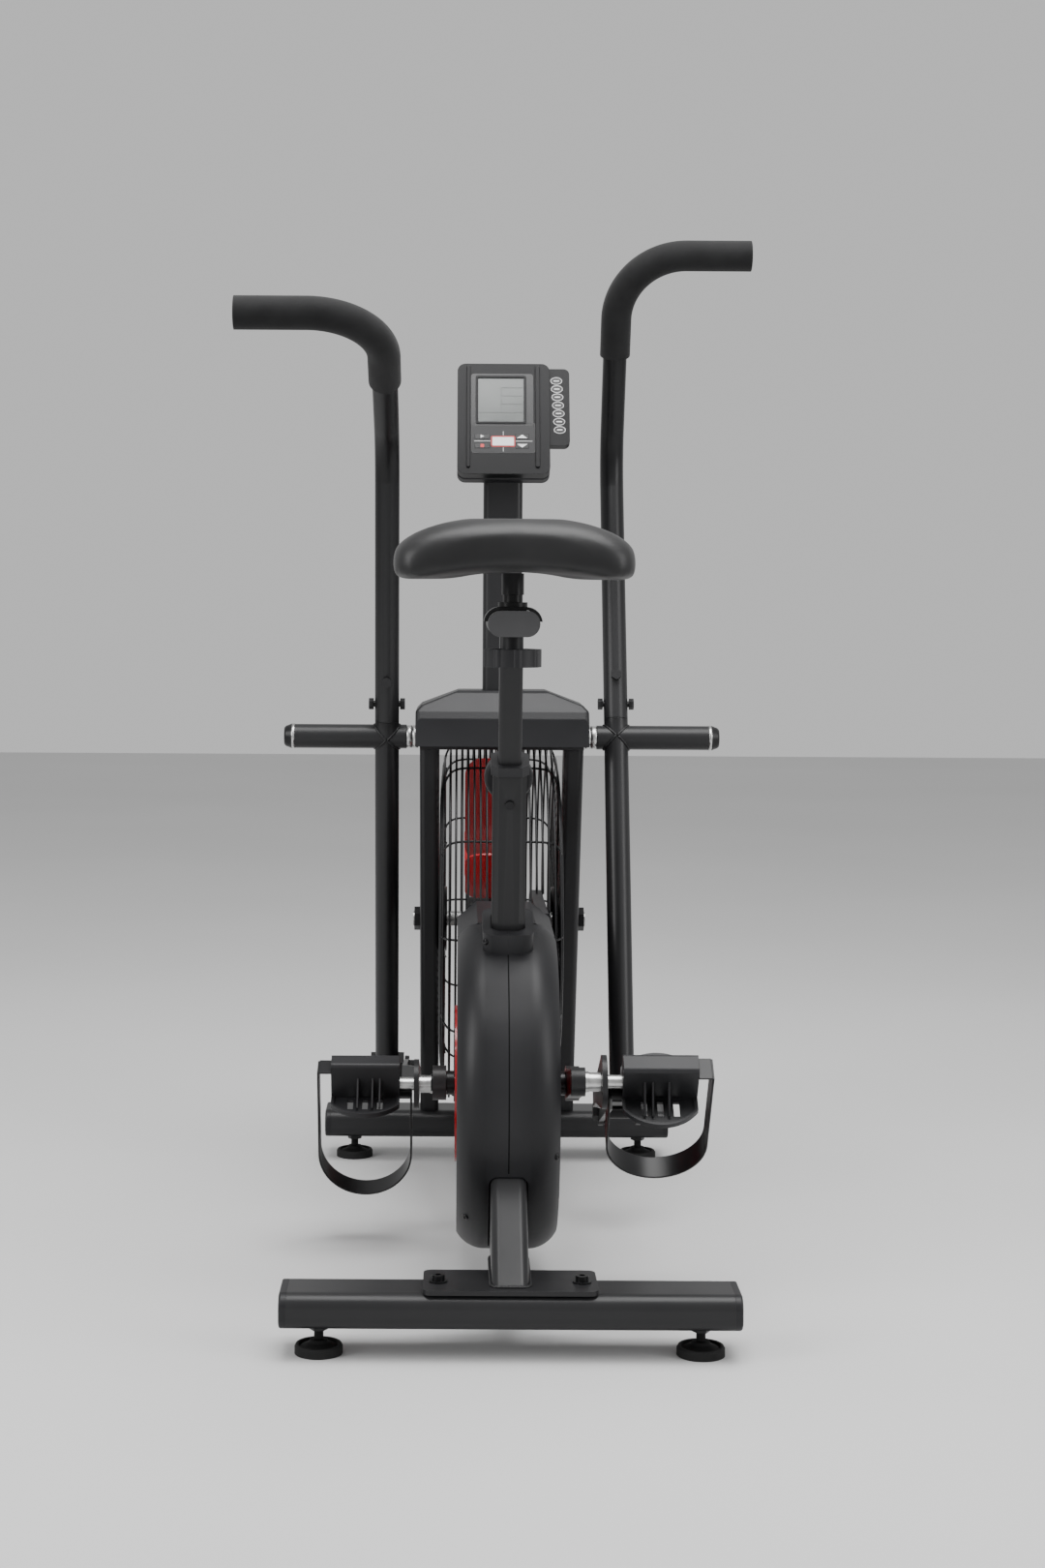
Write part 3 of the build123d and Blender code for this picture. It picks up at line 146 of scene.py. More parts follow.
MARK = surface("printed_white", (0.60, 0.60, 0.60), (0.72, 0.72, 0.72), 0.5, grain=900, bump=0.05, bump_mm=0.02, blotch=60)
PRINT_RED = surface("printed_red", (0.45, 0.02, 0.02), (0.55, 0.03, 0.03), 0.45, grain=900, bump=0.05, bump_mm=0.02, blotch=60)
LCD_LINE = surface("lcd_line", (0.035, 0.040, 0.038), (0.045, 0.050, 0.048), 0.35, grain=300, bump=0.02, bump_mm=0.02)
KEY_GREY = surface("key_panel_grey", (0.020, 0.020, 0.021), (0.028, 0.028, 0.029), 0.45, grain=900, bump=0.1, bump_mm=0.05, spec=0.3)
PANEL = surface("key_membrane", (0.004, 0.004, 0.0045), (0.0070, 0.0070, 0.0080), 0.26, grain=900, bump=0.08, bump_mm=0.05)
WELD = surface("weld_bead", (0.005, 0.005, 0.0055), (0.0105, 0.0105, 0.0115), 0.40, grain=700, bump=0.5, bump_mm=0.4, spec=0.34)

CAP_GREY = surface("rail_cap_grey", (0.040, 0.040, 0.042), (0.056, 0.056, 0.058), 0.48, grain=1100, bump=0.3, bump_mm=0.12, edge=0.8)
SEAM = surface("seam_shadow", (0.0015, 0.0015, 0.0016), (0.0025, 0.0025, 0.0026), 0.7, grain=500, bump=0.05, bump_mm=0.02, spec=0.1)

for name, o in NODES.items():
    m = CAP_GREY if name == "rail_caps" else MAT[NODE_SLOT[name]]
    o.data.materials.clear()
    o.data.materials.append(m)


# ------------------------------------------------------------------ mesh tools
def obj_from(bm, name, mat, body, smooth=True):
    me = bpy.data.meshes.new(name)
    bmesh.ops.recalc_face_normals(bm, faces=bm.faces)
    bm.to_mesh(me)
    bm.free()
    if smooth:
        for p in me.polygons:
            p.use_smooth = True
    o = bpy.data.objects.new(name, me)
    bpy.context.scene.collection.objects.link(o)
    me.materials.append(mat)
    if body:
        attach(o, body)
    return o


def frame_axes(d):
    d = d.normalized()
    u = d.orthogonal().normalized()
    if abs(d.x) > 0.99:
        u = Vector((0, 1, 0))
    v = d.cross(u)
    return u, v, d


def lathe(bm, origin, axis, profile, seg=48):
    """Turned solid: profile is (distance along the axis, radius) from end to end."""
    u, v, d = frame_axes(Vector(axis))
    rings = []
    for t, r in profile:
        if r <= 1e-6:
            rings.append([bm.verts.new(origin + d * t)])
        else:
            rings.append([bm.verts.new(origin + d * t + (u * math.cos(a) + v * math.sin(a)) * r) for a in (2 * math.pi * k / seg for k in range(seg))])
    for a, b in zip(rings, rings[1:]):
        if len(a) == 1 and len(b) == 1:
            continue
        for k in range(seg):
            k2 = (k + 1) % seg
            if len(a) == 1:
                bm.faces.new((a[0], b[k], b[k2]))
            elif len(b) == 1:
                bm.faces.new((a[k], b[0], a[k2]))
            else:
                bm.faces.new((a[k], b[k], b[k2], a[k2]))


def tube_path(bm, pts, r, seg=10, closed=False):
    """Round wire along points, with its ends closed."""
    n = len(pts)
    rings = []
    up = None
    for i, p in enumerate(pts):
        a = pts[(i - 1) % n] if (closed or i > 0) else p
        b = pts[(i + 1) % n] if (closed or i < n - 1) else p
        d = (b - a).normalized()
        if up is None:
            up = d.orthogonal().normalized()
        up = (up - d * up.dot(d)).normalized()
        v = d.cross(up)
        rings.append([bm.verts.new(p + (up * math.cos(2 * math.pi * k / seg) + v * math.sin(2 * math.pi * k / seg)) * r) for k in range(seg)])
    m = n if closed else n - 1
    for i in range(m):
        a, b = rings[i], rings[(i + 1) % n]
        for k in range(seg):
            k2 = (k + 1) % seg
            bm.faces.new((a[k], b[k], b[k2], a[k2]))
    if not closed:
        bm.faces.new(rings[0][::-1])
        bm.faces.new(rings[-1])


def prism(bm, pts, offset):
    """Outline given thickness along offset."""
    a = [bm.verts.new(p) for p in pts]
    b = [bm.verts.new(p + offset) for p in pts]
    bm.faces.new(a)
    bm.faces.new(b[::-1])
    n = len(pts)
    for k in range(n):
        bm.faces.new((a[k], a[(k + 1) % n], b[(k + 1) % n], b[k]))


def rounded(cx, cy, w, h, r, seg=6):
    pts = []
    for sx, sy, a0 in ((1, 1, 0), (-1, 1, 90), (-1, -1, 180), (1, -1, 270)):
        for k in range(seg + 1):
            a = math.radians(a0 + 90 * k / seg)
            pts.append((cx + sx * (w / 2 - r) + r * math.cos(a), cy + sy * (h / 2 - r) + r * math.sin(a)))
    return pts


def bevelled(o, width, seg=2, angle=40):
    b = o.modifiers.new("edges", "BEVEL")
    b.width, b.segments, b.limit_method, b.angle_limit = width, seg, "ANGLE", math.radians(angle)
    b.harden_normals = False
    return o


# ------------------------------------------------------------------ places taken from the frame
def mid(node):
    a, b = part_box(node)
    return (a + b) / 2


CR = mid("crank_spindle")
FAN = mid("fan_axle")
piv_j = next(j for j in frame["joints"] if j["name"] == "right_arm")
PIV = Vector(piv_j["pos_m"])
DY = CR.y - 0.270            # shift from the layout's Y to the row's Y


def L(x, y, z):
    """Layout millimetres to the row frame in metres."""
    return Vector((x / 1000, y / 1000 + DY, z / 1000))


# ------------------------------------------------------------------ saddle
SAD_OUT = [(-58, 52), (-56, 104), (-50, 120), (-40, 129), (-20, 134), (4, 134), (30, 125), (56, 104), (80, 78), (104, 56), (134, 40), (164, 33), (190, 28), (204, 20), (211, 8)]


def half_width(y):
    for (a, wa), (b, wb) in zip(SAD_OUT, SAD_OUT[1:]):
        if a <= y <= b:
            return wa + (wb - wa) * (y - a) / (b - a)
    return SAD_OUT[-1][1]


def saddle():
    bm = bmesh.new()
    ys = [-57.5, -54, -48, -38, -24, -8, 10, 30, 50, 70, 90, 112, 136, 160, 182, 198, 207, 210]
    n = 48
    rings = []
    for y in ys:
        w = half_width(y) - 5
        tail = min(1.0, (y + 58) / 30) ** 0.5 if y < -28 else 1.0
        tip = min(1.0, (212 - y) / 24) ** 0.5 if y > 188 else 1.0
        f = tail * tip
        rise = 1.0 - 0.16 * max(0.0, min(1.0, (y - 20) / 150))
        top = 827 + (887 - 827) * rise * (0.62 + 0.38 * f)
        bot = 829.5 + 8 * (1 - f)
        ring = []
        for k in range(n):
            a = 2 * math.pi * k / n
            c, s = math.cos(a), math.sin(a)
            x = w * math.copysign(abs(c) ** (0.5 if w > 70 else 0.7), c)
            q = abs(x) / max(w, 1e-6)
            crown = top - (21 if w > 70 else 9) * q ** 2.4
            droop = bot + 1.5 - (20 if w > 70 else 3) * q ** 2.2
            zm = (crown + droop) / 2
            z = zm + (crown - droop) / 2 * math.copysign(abs(s) ** (0.5 if w > 70 else 0.6), s)
            z = max(z, 820.4)
            ring.append(bm.verts.new(L(x, y, z)))
        rings.append(ring)
    for a, b in zip(rings, rings[1:]):
        for k in range(n):
            bm.faces.new((a[k], b[k], b[(k + 1) % n], a[(k + 1) % n]))
    bm.faces.new(rings[0][::-1])
    bm.faces.new(rings[-1])
    o = obj_from(bm, "saddle_cushion", MAT["saddle_skin"], None)
    vl = bpy.context.view_layer
    vl.objects.active = o
    o.select_set(True)
    rm = o.modifiers.new("remesh", "REMESH")
    rm.mode = "VOXEL"
    rm.voxel_size = 0.005
    rm.use_smooth_shade = True
    bpy.ops.object.modifier_apply(modifier="remesh")
    sm = o.modifiers.new("smooth", "SMOOTH")
    sm.factor, sm.iterations = 0.5, 12
    bpy.ops.object.modifier_apply(modifier="smooth")
    start = [v.co.copy() for v in o.data.vertices]
    # the underside is stapled to its board, so only the skin above it swells
    vg = o.vertex_groups.new(name="board")
    held = [v.index for v in o.data.vertices if v.co.z < 0.833 and abs(v.co.x) < 0.075]
    vg.add(held, 1.0, "REPLACE")
    cl = o.modifiers.new("pad", "CLOTH")
    cs = cl.settings
    cs.quality = 6
    cs.mass = 0.2
    cs.use_pressure = True
    cs.uniform_pressure_force = 4.0
    cs.tension_stiffness = 25
    cs.compression_stiffness = 25
    cs.bending_stiffness = 2.0
    cs.effector_weights.gravity = 0
    cs.vertex_group_mass = "board"
    cl.collision_settings.use_self_collision = False
    cl.point_cache.frame_start, cl.point_cache.frame_end = 1, 20
    sc = bpy.context.scene
    for f in range(1, 21):
        sc.frame_set(f)
    dg = bpy.context.evaluated_depsgraph_get()
    ev = o.evaluated_get(dg).to_mesh()
    moved = [v.co.copy() for v in ev.vertices]
    o.evaluated_get(dg).to_mesh_clear()
    o.modifiers.remove(cl)
    # filled foam pushes its skin out and never pulls it in: keep the outward part of
    # the simulated movement, capped, and relax it so that no crease is left
    cap = 0.0025
    normals = [v.normal.copy() for v in o.data.vertices]
    push = [min(cap, max(0.0, (b - a).dot(nv))) for a, b, nv in zip(start, moved, normals)]
    near = [[] for _ in push]
    for e in o.data.edges:
        i, j = e.vertices
        near[i].append(j)
        near[j].append(i)
    for _ in range(30):
        push = [0.5 * q + 0.5 * sum(push[k] for k in near[i]) / max(1, len(near[i])) for i, q in enumerate(push)]
    for v, a, nv, q in zip(o.data.vertices, start, normals, push):
        v.co = a + nv * q
    sc.frame_set(1)
    lo_, hi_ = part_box("saddle_pad")
    for v in o.data.vertices:
        v.co.z = max(v.co.z, lo_.z + 0.0006)
        v.co.z = min(v.co.z, hi_.z - 0.0002)
    # one level of subdivision, applied to the cushion
    sub = o.modifiers.new("sub", "SUBSURF")
    sub.levels = sub.render_levels = 1
    bpy.ops.object.modifier_apply(modifier="sub")
    for p in o.data.polygons:
        p.use_smooth = True
    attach(o, "saddle")
    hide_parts("saddle_pad")
    return o


saddle()


# ------------------------------------------------------------------ console details
TAU = math.radians(20)
CN = Vector((0, -math.cos(TAU), math.sin(TAU)))
CV = Vector((0, math.sin(TAU), math.cos(TAU)))
CO = L(0, 634, 1038.5)


def C(x, v, n=0.0):
    return CO + Vector((x / 1000, 0, 0)) + CV * (v / 1000) + CN * (n / 1000)


def console_print(name, outlines, n0, thick, mat, bevel=0.0):
    bm = bmesh.new()
    for pts in outlines:
        prism(bm, [C(x, v, n0) for x, v in pts], CN * (thick / 1000))
    o = obj_from(bm, name, mat, "frame", smooth=False)
    if bevel:
        bevelled(o, bevel / 1000)
    return o


def bar_pts(x0, x1, v0, v1):
    return [(x0, v0), (x1, v0), (x1, v1), (x0, v1)]


# raised rails either side of the screen
console_print("console_rail_left", [rounded(-46.8, 5, 5.2, 148, 2.5)], -0.2, 2.4, MAT["console_face"], 0.8)
console_print("console_rail_right", [rounded(45.15, 5, 6.5, 148, 3.0)], -0.2, 2.4, MAT["console_face"], 0.8)


def ring_frame(name, outer, inner, n0, thick, mat, body="frame"):
    bm = bmesh.new()
    k = len(outer)
    vo0 = [bm.verts.new(C(x, v, n0)) for x, v in outer]
    vo1 = [bm.verts.new(C(x, v, n0 + thick)) for x, v in outer]
    vi0 = [bm.verts.new(C(x, v, n0)) for x, v in inner]
    vi1 = [bm.verts.new(C(x, v, n0 + thick)) for x, v in inner]
    for i in range(k):
        j = (i + 1) % k
        bm.faces.new((vo0[i], vo0[j], vo1[j], vo1[i]))
        bm.faces.new((vi0[j], vi0[i], vi1[i], vi1[j]))
        bm.faces.new((vo1[i], vo1[j], vi1[j], vi1[i]))
        bm.faces.new((vo0[j], vo0[i], vi0[i], vi0[j]))
    return obj_from(bm, name, mat, body, smooth=False)


ring_frame("screen_bezel", rounded(-3.5, 29, 67.4, 70.4, 3), rounded(-3.5, 29, 61.2, 64.2, 1.2), -0.2, 1.3, MAT["console_face"])
ring_frame("screen_surround", rounded(-2.0, 29, 83, 76, 4), rounded(-3.5, 29, 67.6, 70.6, 3), -0.1, 0.35, PANEL)

lcd = [bar_pts(-3.3, -2.7, 11, 47), bar_pts(-33, 26, 10.4, 11)]
for v in (47, 35, 23):
    lcd.append(bar_pts(-2.6, 26, v - 0.3, v + 0.3))
for x in (-11, 12):
    lcd.append(bar_pts(x - 0.3, x + 0.3, -2, 10.4))
console_print("lcd_cells", lcd, -0.48, 0.16, LCD_LINE)

# the key panel: a raised edge, printed cross lines and generic marks
ring_frame("key_panel_edge", rounded(-0.5, -26.5, 85, 44.4, 4), rounded(-0.5, -26.5, 82.6, 42.0, 3), -0.1, 0.5, PANEL)
KEY_BOXES = ((-15.0, 13.6, -37.5, -25.3), (16.0, 33.0, -27.5, -21.0), (16.0, 33.0, -41.0, -34.5), (-38.0, -18.5, -27.5, -21.0), (-38.0, -18.5, -41.0, -34.5))


def key_plate():
    xs, vs = {-41.6, 40.6}, {-47.3, -5.7}
    for x0, x1, v0, v1 in KEY_BOXES:
        xs |= {x0 - 0.35, x1 + 0.35}
        vs |= {v0 - 0.35, v1 + 0.35}
    xs, vs = sorted(xs), sorted(vs)
    bm = bmesh.new()
    grid = [[bm.verts.new(C(x, v, 0.0)) for v in vs] for x in xs]
    for i in range(len(xs) - 1):
        for j in range(len(vs) - 1):
            mx, mv = (xs[i] + xs[i + 1]) / 2, (vs[j] + vs[j + 1]) / 2
            if any(x0 - 0.4 < mx < x1 + 0.4 and v0 - 0.4 < mv < v1 + 0.4 for x0, x1, v0, v1 in KEY_BOXES):
                continue
            bm.faces.new((grid[i][j], grid[i + 1][j], grid[i + 1][j + 1], grid[i][j + 1]))
    bmesh.ops.delete(bm, geom=[v for v in bm.verts if not v.link_faces], context="VERTS")
    o = obj_from(bm, "key_panel_plate", KEY_GREY, "frame", smooth=False)
    so = o.modifiers.new("thick", "SOLIDIFY")
    so.thickness, so.offset = 0.0003, 0
    return o


key_plate()
marks = [
    bar_pts(-39, -17.6, -31.2, -30.6), bar_pts(16.2, 38, -31.2, -30.6),
    bar_pts(-0.8, -0.2, -46, -40), bar_pts(-0.8, -0.2, -22.6, -17),
]
console_print("panel_lines", marks, 0.12, 0.15, MARK)
ring_frame("enter_ring", rounded(-0.7, -31.4, 31.8, 15.4, 2.0), rounded(-0.7, -31.4, 29.6, 13.2, 0.2), 0.0, 0.5, PRINT_RED)


def key_print(name, outlines, body, mat):
    bm = bmesh.new()
    for pts in outlines:
        prism(bm, [C(x, v, 0.55) for x, v in pts], CN * 0.0002)
    return obj_from(bm, name, mat, body, smooth=False)


key_print("start_mark", [[(-30.5, -21.9), (-30.5, -26.6), (-26.0, -24.25)]], "start_key_body", MARK)
key_print("stop_mark", [bar_pts(-30.6, -26.0, -40.0, -35.5)], "stop_key_body", PRINT_RED)
key_print("up_mark", [[(17.5, -26.8), (31.5, -26.8), (24.5, -21.7)]], "up_key_body", MARK)
key_print("down_mark", [[(17.5, -35.2), (24.5, -40.3), (31.5, -35.2)]], "down_key_body", MARK)
for k in ("start_key", "stop_key", "up_key", "down_key"):
    NODES[k].data.materials.clear()
    NODES[k].data.materials.append(PANEL)

# membrane keys on the wing: printed ovals with white rings
def ellipse(cx, cy, w, h, seg=32):
    return [(cx + w / 2 * math.cos(2 * math.pi * k / seg), cy + h / 2 * math.sin(2 * math.pi * k / seg)) for k in range(seg)]


for i in range(7):
    cx, cv = 70.5 + 0.68 * i, 58.3 - 11.9 * i
    ring_frame("wing_ring_%d" % (i + 1), ellipse(cx, cv, 15.6, 10.6), ellipse(cx, cv, 14.2, 9.2), -3.05, 0.3, MARK)
    console_print("wing_key_%d" % (i + 1), [ellipse(cx, cv, 13.8, 8.8)], -3.05, 0.45, PANEL)
    console_print("wing_dash_%d" % (i + 1), [bar_pts(cx - 3.6, cx + 3.6, cv - 0.7, cv + 0.7)], -2.62, 0.12, MARK)


# ------------------------------------------------------------------ screws and welds
def round_head(name, p, d, r, h, body, mat, across=None):
    bm = bmesh.new()
    d = Vector(d).normalized()
    prof = [(0, 0), (0, r)] + [(h * math.sin(a), r * (0.55 + 0.45 * math.cos(a))) for a in (math.pi / 2 * k / 6 for k in range(1, 7))]
    prof += [(h, (across or r) * 0.45), (h * 0.45, (across or r) * 0.42), (h * 0.45, 0)]
    lathe(bm, p, d, prof, 24)
    return obj_from(bm, name, mat, body)


def bead(name, pts, r, body, closed=True):
    """Weld bead: a wire whose thickness ripples along its length."""
    bm = bmesh.new()
    dense = []
    n = len(pts)
    for i in range(n if closed else n - 1):
        a, b = pts[i], pts[(i + 1) % n]
        steps = max(1, int((b - a).length / 0.0011))
        for k in range(steps):
            dense.append(a + (b - a) * (k / steps))
    rings, seg = [], 8
    m = len(dense)
    for i, p in enumerate(dense):
        a = dense[(i - 1) % m] if closed or i else p
        b = dense[(i + 1) % m] if closed or i < m - 1 else p
        d = (b - a).normalized()
        u = d.orthogonal().normalized()
        v = d.cross(u)
        rr = r * (1 + 0.14 * math.sin(i * 2.1))
        rings.append([bm.verts.new(p + (u * math.cos(2 * math.pi * k / seg) + v * math.sin(2 * math.pi * k / seg)) * rr) for k in range(seg)])
    for i in range(m if closed else m - 1):
        a, b = rings[i], rings[(i + 1) % m]
        # match the two rings by nearest start, because the frame can turn between them
        off = min(range(seg), key=lambda q: (a[0].co - b[q].co).length)
        for k in range(seg):
            k2 = (k + 1) % seg
            bm.faces.new((a[k], b[(k + off) % seg], b[(k2 + off) % seg], a[k2]))
    if not closed:
        bm.faces.new(rings[0][::-1])
        bm.faces.new(rings[-1])
    return obj_from(bm, name, WELD, body)


slope = math.atan2(87, 121)
top_y = -25.0 + (76.6 - 75) / math.tan(slope)
bot_y = top_y + 70 / math.sin(slope)
loop = [L(x, y, 76.6) for x, y in rounded(0, (top_y + bot_y) / 2, 41, bot_y - top_y, 9)]
bead("post_weld", loop, 0.0022, "frame")

# ------------------------------------------------------------------ fan cage in round wire
CAGE_R, CAGE_HALF, WIRE = 0.250, 0.081, 0.0015


def cage_r(x):
    return CAGE_R * max(0.0, 1 - (abs(x) / CAGE_HALF) ** 8) ** 0.125


def cage_x(r):
    return CAGE_HALF * max(0.0, 1 - (r / CAGE_R) ** 8) ** 0.125


def on_cage(x, r, a):
    # a is measured from straight up, towards the front
    return Vector((x, FAN.y + r * math.sin(a), FAN.z + r * math.cos(a)))


def in_gap(x, p):
    # the belt guard enters the cage here, on the right at the rear
    return 0.040 < x < 0.0583 and p.y < FAN.y - 0.125 and -0.134 < p.z - FAN.z < 0.054


def cage(sx, tag):
    bm = bmesh.new()
    for i in range(10):
        x = 0.004 + 0.008 * i
        r = cage_r(x)
        pts = [on_cage(sx * x, r, 2 * math.pi * k / 120) for k in range(120)]
        if sx > 0 and any(in_gap(x, p) for p in pts):
            start = next(k for k in range(120) if in_gap(x, pts[k - 1]) and not in_gap(x, pts[k]))
            run = []
            for k in range(120):
                p = pts[(start + k) % 120]
                if in_gap(x, p):
                    break
                run.append(p)
            tube_path(bm, run, WIRE, 8)
        else:
            tube_path(bm, pts, WIRE, 8, closed=True)
    for i in range(14):
        r = 0.052 + 0.012 * i
        tube_path(bm, [on_cage(sx * cage_x(r), r, 2 * math.pi * k / 96) for k in range(96)], WIRE, 8, closed=True)
    # cross wires under the hoops, and spokes under the side rings
    for i in range(12):
        a = math.radians(30 * i + 1.2)
        xs = [0.0005 + (0.078 - 0.0005) * k / 20 for k in range(21)]
        pts = [on_cage(sx * x, cage_r(x) - 0.0026, a) for x in xs]
        tube_path(bm, pts, WIRE, 8)
    for i in range(8):
        a = math.radians(45 * i + 22.5)
        pts = [on_cage(sx * (cage_x(r) - 0.0026), r, a) for r in (0.041 + 0.0089 * k for k in range(21))]
        tube_path(bm, pts, WIRE, 8)
    lathe(bm, Vector((sx * 0.072, FAN.y, FAN.z)), (sx, 0, 0), [(0, 0.041), (0, 0.044), (0.0093, 0.044), (0.0103, 0.043), (0.0103, 0.0105), (0.0085, 0.0105), (0.0085, 0.041), (0, 0.041)], 56)
    o = obj_from(bm, "cage_wires_" + tag, MAT["cage_wire"], "frame")
    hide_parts("cage_" + tag)


cage(-1, "left")
cage(1, "right")


# ------------------------------------------------------------------ peg rings and the weld where peg meets arm
ARM_X, TUBE, PEG_END = 0.153, 0.016, 0.276
LOW = {-1: (790.3, 145.92), 1: (513.74, 145.91)}      # lower joint of each lever, layout mm


def peg_trim(sx, tag):
    body = "lever_" + tag
    for n, (a, b, r) in enumerate(((0.1113, 0.1187, 0.0151), (0.1193, 0.1267, 0.0151), (PEG_END - 0.0001, PEG_END + 0.0042, 0.0166))):
        bm = bmesh.new()
        e = 0.0006
        lathe(bm, Vector((sx * a, PIV.y, PIV.z)), (sx, 0, 0),
              [(0, r - 0.0018), (0, r - e), (e, r), (b - a - e, r), (b - a, r - e), (b - a, r - 0.0018), (0, r - 0.0018)], 64)
        obj_from(bm, "peg_ring_%s_%d" % (tag, n + 1), MAT["zinc"], body)
    low = L(0, *LOW[sx])
    up = Vector((0, PIV.y - low.y, PIV.z - low.z)).normalized()
    nrm = Vector((0, -up.z, up.y))
    for n, out in enumerate((1, -1)):
        pts = []
        for k in range(72):
            a = 2 * math.pi * k / 72
            x = sx * ARM_X + out * (TUBE * abs(math.sin(a)) + 0.0008)
            pts.append(Vector((x, PIV.y, PIV.z)) + nrm * (TUBE * math.cos(a)) + up * (TUBE * math.sin(a)))
        bead("peg_weld_%s_%d" % (tag, n + 1), pts, 0.0016, body)


for sx, tag in ((-1, "left"), (1, "right")):
    peg_trim(sx, tag)

# screw heads on the shroud, set down on its surface
def skin(name):
    o = NODES[name]
    me = o.data
    return BVHTree.FromPolygons([o.matrix_world @ v.co for v in me.vertices], [tuple(p.vertices) for p in me.polygons])


SKIN = {n: skin(n) for n in ("shroud_left", "shroud_right")}
for k, (x, y, z) in enumerate(((-26, 213, 411), (54, 100, 185), (-47, 115, 109))):
    p0 = L(x, y, z) - Vector((0, 0.5, 0))
    best = None
    for tree in SKIN.values():
        hit, nrm, _, dist = tree.ray_cast(p0, Vector((0, 1, 0)))
        if hit is not None and (best is None or dist < best[2]):
            best = (hit, nrm, dist)
    if best:
        d = best[1] if best[1].y < 0 else -best[1]
        round_head("shroud_screw_%d" % (k + 1), best[0] - d * 0.0004, d, 0.0042, 0.0022, "frame", MAT["black_hardware"])


# the parting line of the two shroud halves, drawn as a fine shadow on the skin
def seam():
    run, axis = [], Vector((0, CR.y, CR.z))
    for k in range(181):
        a = math.radians(200 - k * 1.45)         # from low at the rear, round the back, to the collar
        d = Vector((0, math.cos(a), math.sin(a)))
        best = None
        for tree in SKIN.values():
            for x in (-0.0012, 0.0012):
                hit, nrm, _, dist = tree.ray_cast(axis + d * 0.5 + Vector((x, 0, 0)), -d)
                if hit is not None and (best is None or dist < best[1]):
                    best = (hit, dist)
        if best:
            run.append(best[0] + d * 0.00003)
    return run


line = [p for p in seam() if p.y < CR.y - 0.02 and p.z < 0.41 and p.z > 0.10]
bm = bmesh.new()
pair = [(bm.verts.new(Vector((-0.0007, p.y, p.z))), bm.verts.new(Vector((0.0007, p.y, p.z)))) for p in line]
for (a, b), (c, d) in zip(pair, pair[1:]):
    if (a.co - c.co).length < 0.012:
        bm.faces.new((a, b, d, c))
o = obj_from(bm, "shroud_seam", SEAM, "frame", smooth=False)
so = o.modifiers.new("thick", "SOLIDIFY")
so.thickness, so.offset = 0.0003, 0


# ------------------------------------------------------------------ toe straps with their row of slots
def strap(sx, tag, tilt):
    body = "pedal_%s_body" % tag
    j = next(q for q in frame["joints"] if q["name"] == "pedal_%s_spin" % tag)
    ax = Vector(j["pos_m"])
    a = math.radians(tilt)
    down = Vector((0, math.sin(a), -math.cos(a)))
    side = Vector((0, math.cos(a), math.sin(a)))
    w0, t = 58.0, 2.2
    xm = (127.5 + 211.5) / 2 + 1.0
    ctr = 150 - w0 + 0.5
    # middle line of the band: from below the axle down the inner strand, round, up the outer strand
    line = []
    r = w0 - t / 2
    for z in [10 + t / 2 + k * 4.0 for k in range(int((ctr - 11.1) / 4.0) + 1)]:
        line.append((xm - r, z))
    line.append((xm - r, ctr))
    for k in range(1, 36):
        b = math.pi * k / 36
        line.append((xm - r * math.cos(b), ctr + (r - 0.0) * math.sin(b)))
    line.append((xm + r, ctr))
    for z in [ctr - 4.0 - k * 4.0 for k in range(int((ctr + 18) / 4.0))]:
        line.append((xm + r, z))
    line.append((xm + r, -24 + t / 2))
    s = [0.0]
    for p, q in zip(line, line[1:]):
        s.append(s[-1] + math.hypot(q[0] - p[0], q[1] - p[1]))
    cols = [-14.5, -13.2, -4.0, 4.0, 13.2, 14.5]
    bm = bmesh.new()
    grid = [[bm.verts.new(ax + Vector((sx * x / 1000, 0, 0)) + down * (z / 1000) + side * (c / 1000)) for c in cols] for x, z in line]
    for i in range(len(line) - 1):
        for c in range(len(cols) - 1):
            # a row of adjusting slots up the inner strand
            if c == 2 and 8 < s[i] < 76 and (i % 3) == 1:
                continue
            bm.faces.new((grid[i][c], grid[i + 1][c], grid[i + 1][c + 1], grid[i][c + 1]))
    o = obj_from(bm, "toe_strap_band_" + tag, MAT["strap"], body)
    so = o.modifiers.new("thick", "SOLIDIFY")
    so.thickness = t / 1000
    so.offset = 0
    bevelled(o, 0.0004, 2, 50)
    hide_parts("toe_strap_" + tag)
    # the returns that hold the band to the pedal
    bm = bmesh.new()
    for x0, x1, z0 in ((xm - w0 + t, 127.7, -10 - t), (211.3, xm + w0 - t, 24 - t)):
        pts = [ax + Vector((sx * x / 1000, 0, 0)) - down * (z / 1000) + side * (-14.5 / 1000) for x, z in ((x0, z0), (x1, z0), (x1, z0 + t), (x0, z0 + t))]
        prism(bm, pts, side * 0.029)
    o2 = obj_from(bm, "toe_strap_tabs_" + tag, MAT["strap"], body, smooth=False)
    bevelled(o2, 0.0003)
    # stiffening fins between the pedal's core and its tread plate
    bm = bmesh.new()
    for x in (151.5, 160.5, 178.5):
        for e in (-1, 1):
            pts = [ax + Vector((sx * (x - 1.1) / 1000, 0, 0)) - down * (z / 1000) + side * (e * c / 1000)
                   for c, z in ((12.6, -10.2), (41.0, -10.2), (41.0, -8.6), (12.6, 16.0))]
            prism(bm, pts, Vector((sx * 0.0022, 0, 0)))
    o3 = obj_from(bm, "pedal_fins_" + tag, MAT[NODE_SLOT["pedal_" + tag]], body, smooth=False)
    bevelled(o3, 0.0003)


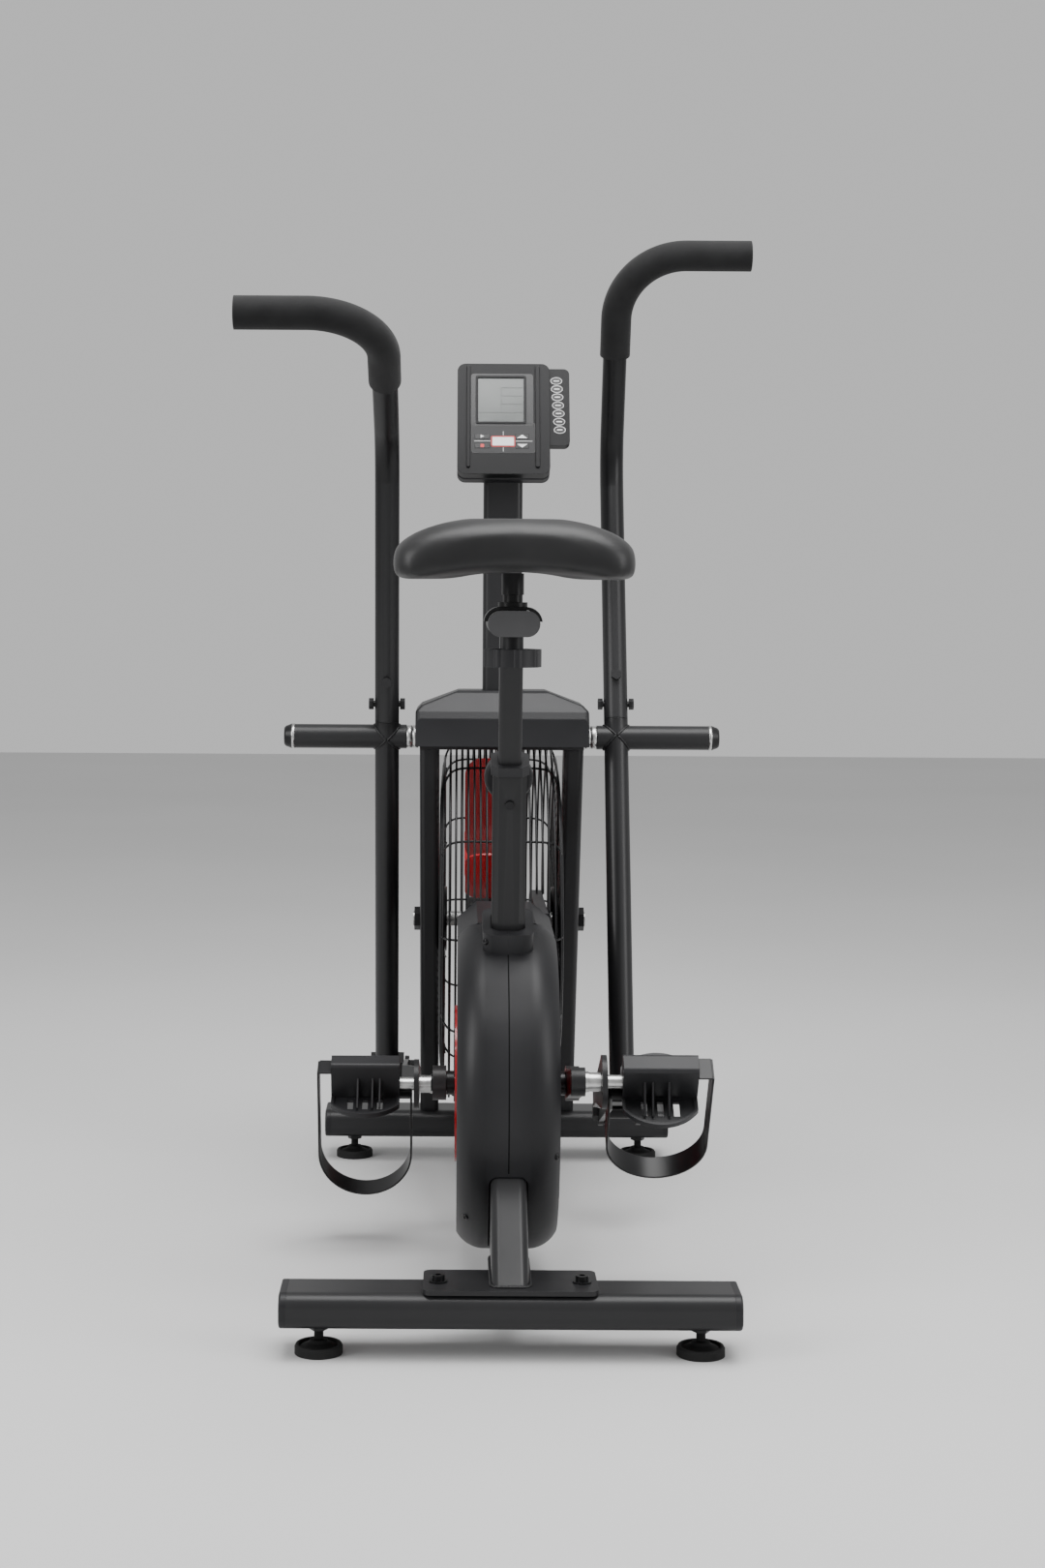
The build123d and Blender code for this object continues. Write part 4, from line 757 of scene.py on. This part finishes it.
strap(-1, "left", 20)
strap(1, "right", 38)


# ------------------------------------------------------------------ stage, light, camera
def stage_plane(name, pts, mat):
    bm = bmesh.new()
    bm.faces.new([bm.verts.new(Vector(p)) for p in pts])
    o = obj_from(bm, name, mat, None, smooth=False)
    return o


floor_mat = surface("stage_floor", (0.56, 0.56, 0.56), (0.60, 0.60, 0.60), 0.7, grain=60, bump=0.02, bump_mm=0.2, blotch=0.7, rough_var=0.04)
stage_plane("stage_floor", [(-9, -9, 0), (9, -9, 0), (9, 9, 0), (-9, 9, 0)], floor_mat)

w = bpy.data.worlds.new("studio")
bpy.context.scene.world = w
w.use_nodes = True
bg = w.node_tree.nodes["Background"]
bg.inputs["Color"].default_value = (0.86, 0.86, 0.86, 1)
bg.inputs["Strength"].default_value = 0.72


def area(name, loc, target, size, power):
    d = bpy.data.lights.new(name, "AREA")
    d.shape = "RECTANGLE"
    d.size, d.size_y = size
    d.energy = power
    o = bpy.data.objects.new(name, d)
    bpy.context.scene.collection.objects.link(o)
    o.location = loc
    o.rotation_mode = "QUATERNION"
    o.rotation_quaternion = (Vector(target) - Vector(loc)).to_track_quat("-Z", "Y")
    return o


area("top_light", (0.2, -0.6, 3.0), (0, -0.1, 0.5), (2.2, 1.8), 120)
area("left_light", (-2.6, -1.8, 1.9), (0, 0, 0.6), (1.0, 2.0), 60)
area("right_light", (2.6, -1.6, 1.7), (0, 0, 0.6), (1.0, 2.0), 42)

cam = bpy.data.cameras.new("photo_view")
cam.lens = 2461.0 / 1620.0 * 36.0
cam.sensor_width = 36.0
cam.shift_x = 67.5 / 1620.0
cam.shift_y = -195.0 / 1620.0
cam.clip_start, cam.clip_end = 0.05, 60
co = bpy.data.objects.new("photo_view", cam)
bpy.context.scene.collection.objects.link(co)
co.rotation_mode = "QUATERNION"
co.matrix_world = Matrix.Translation(L(-60.4, -2530, 805)) @ Matrix.Rotation(math.radians(90), 4, "X") @ Matrix.Rotation(0.0057, 4, "Z")
bpy.context.scene.camera = co
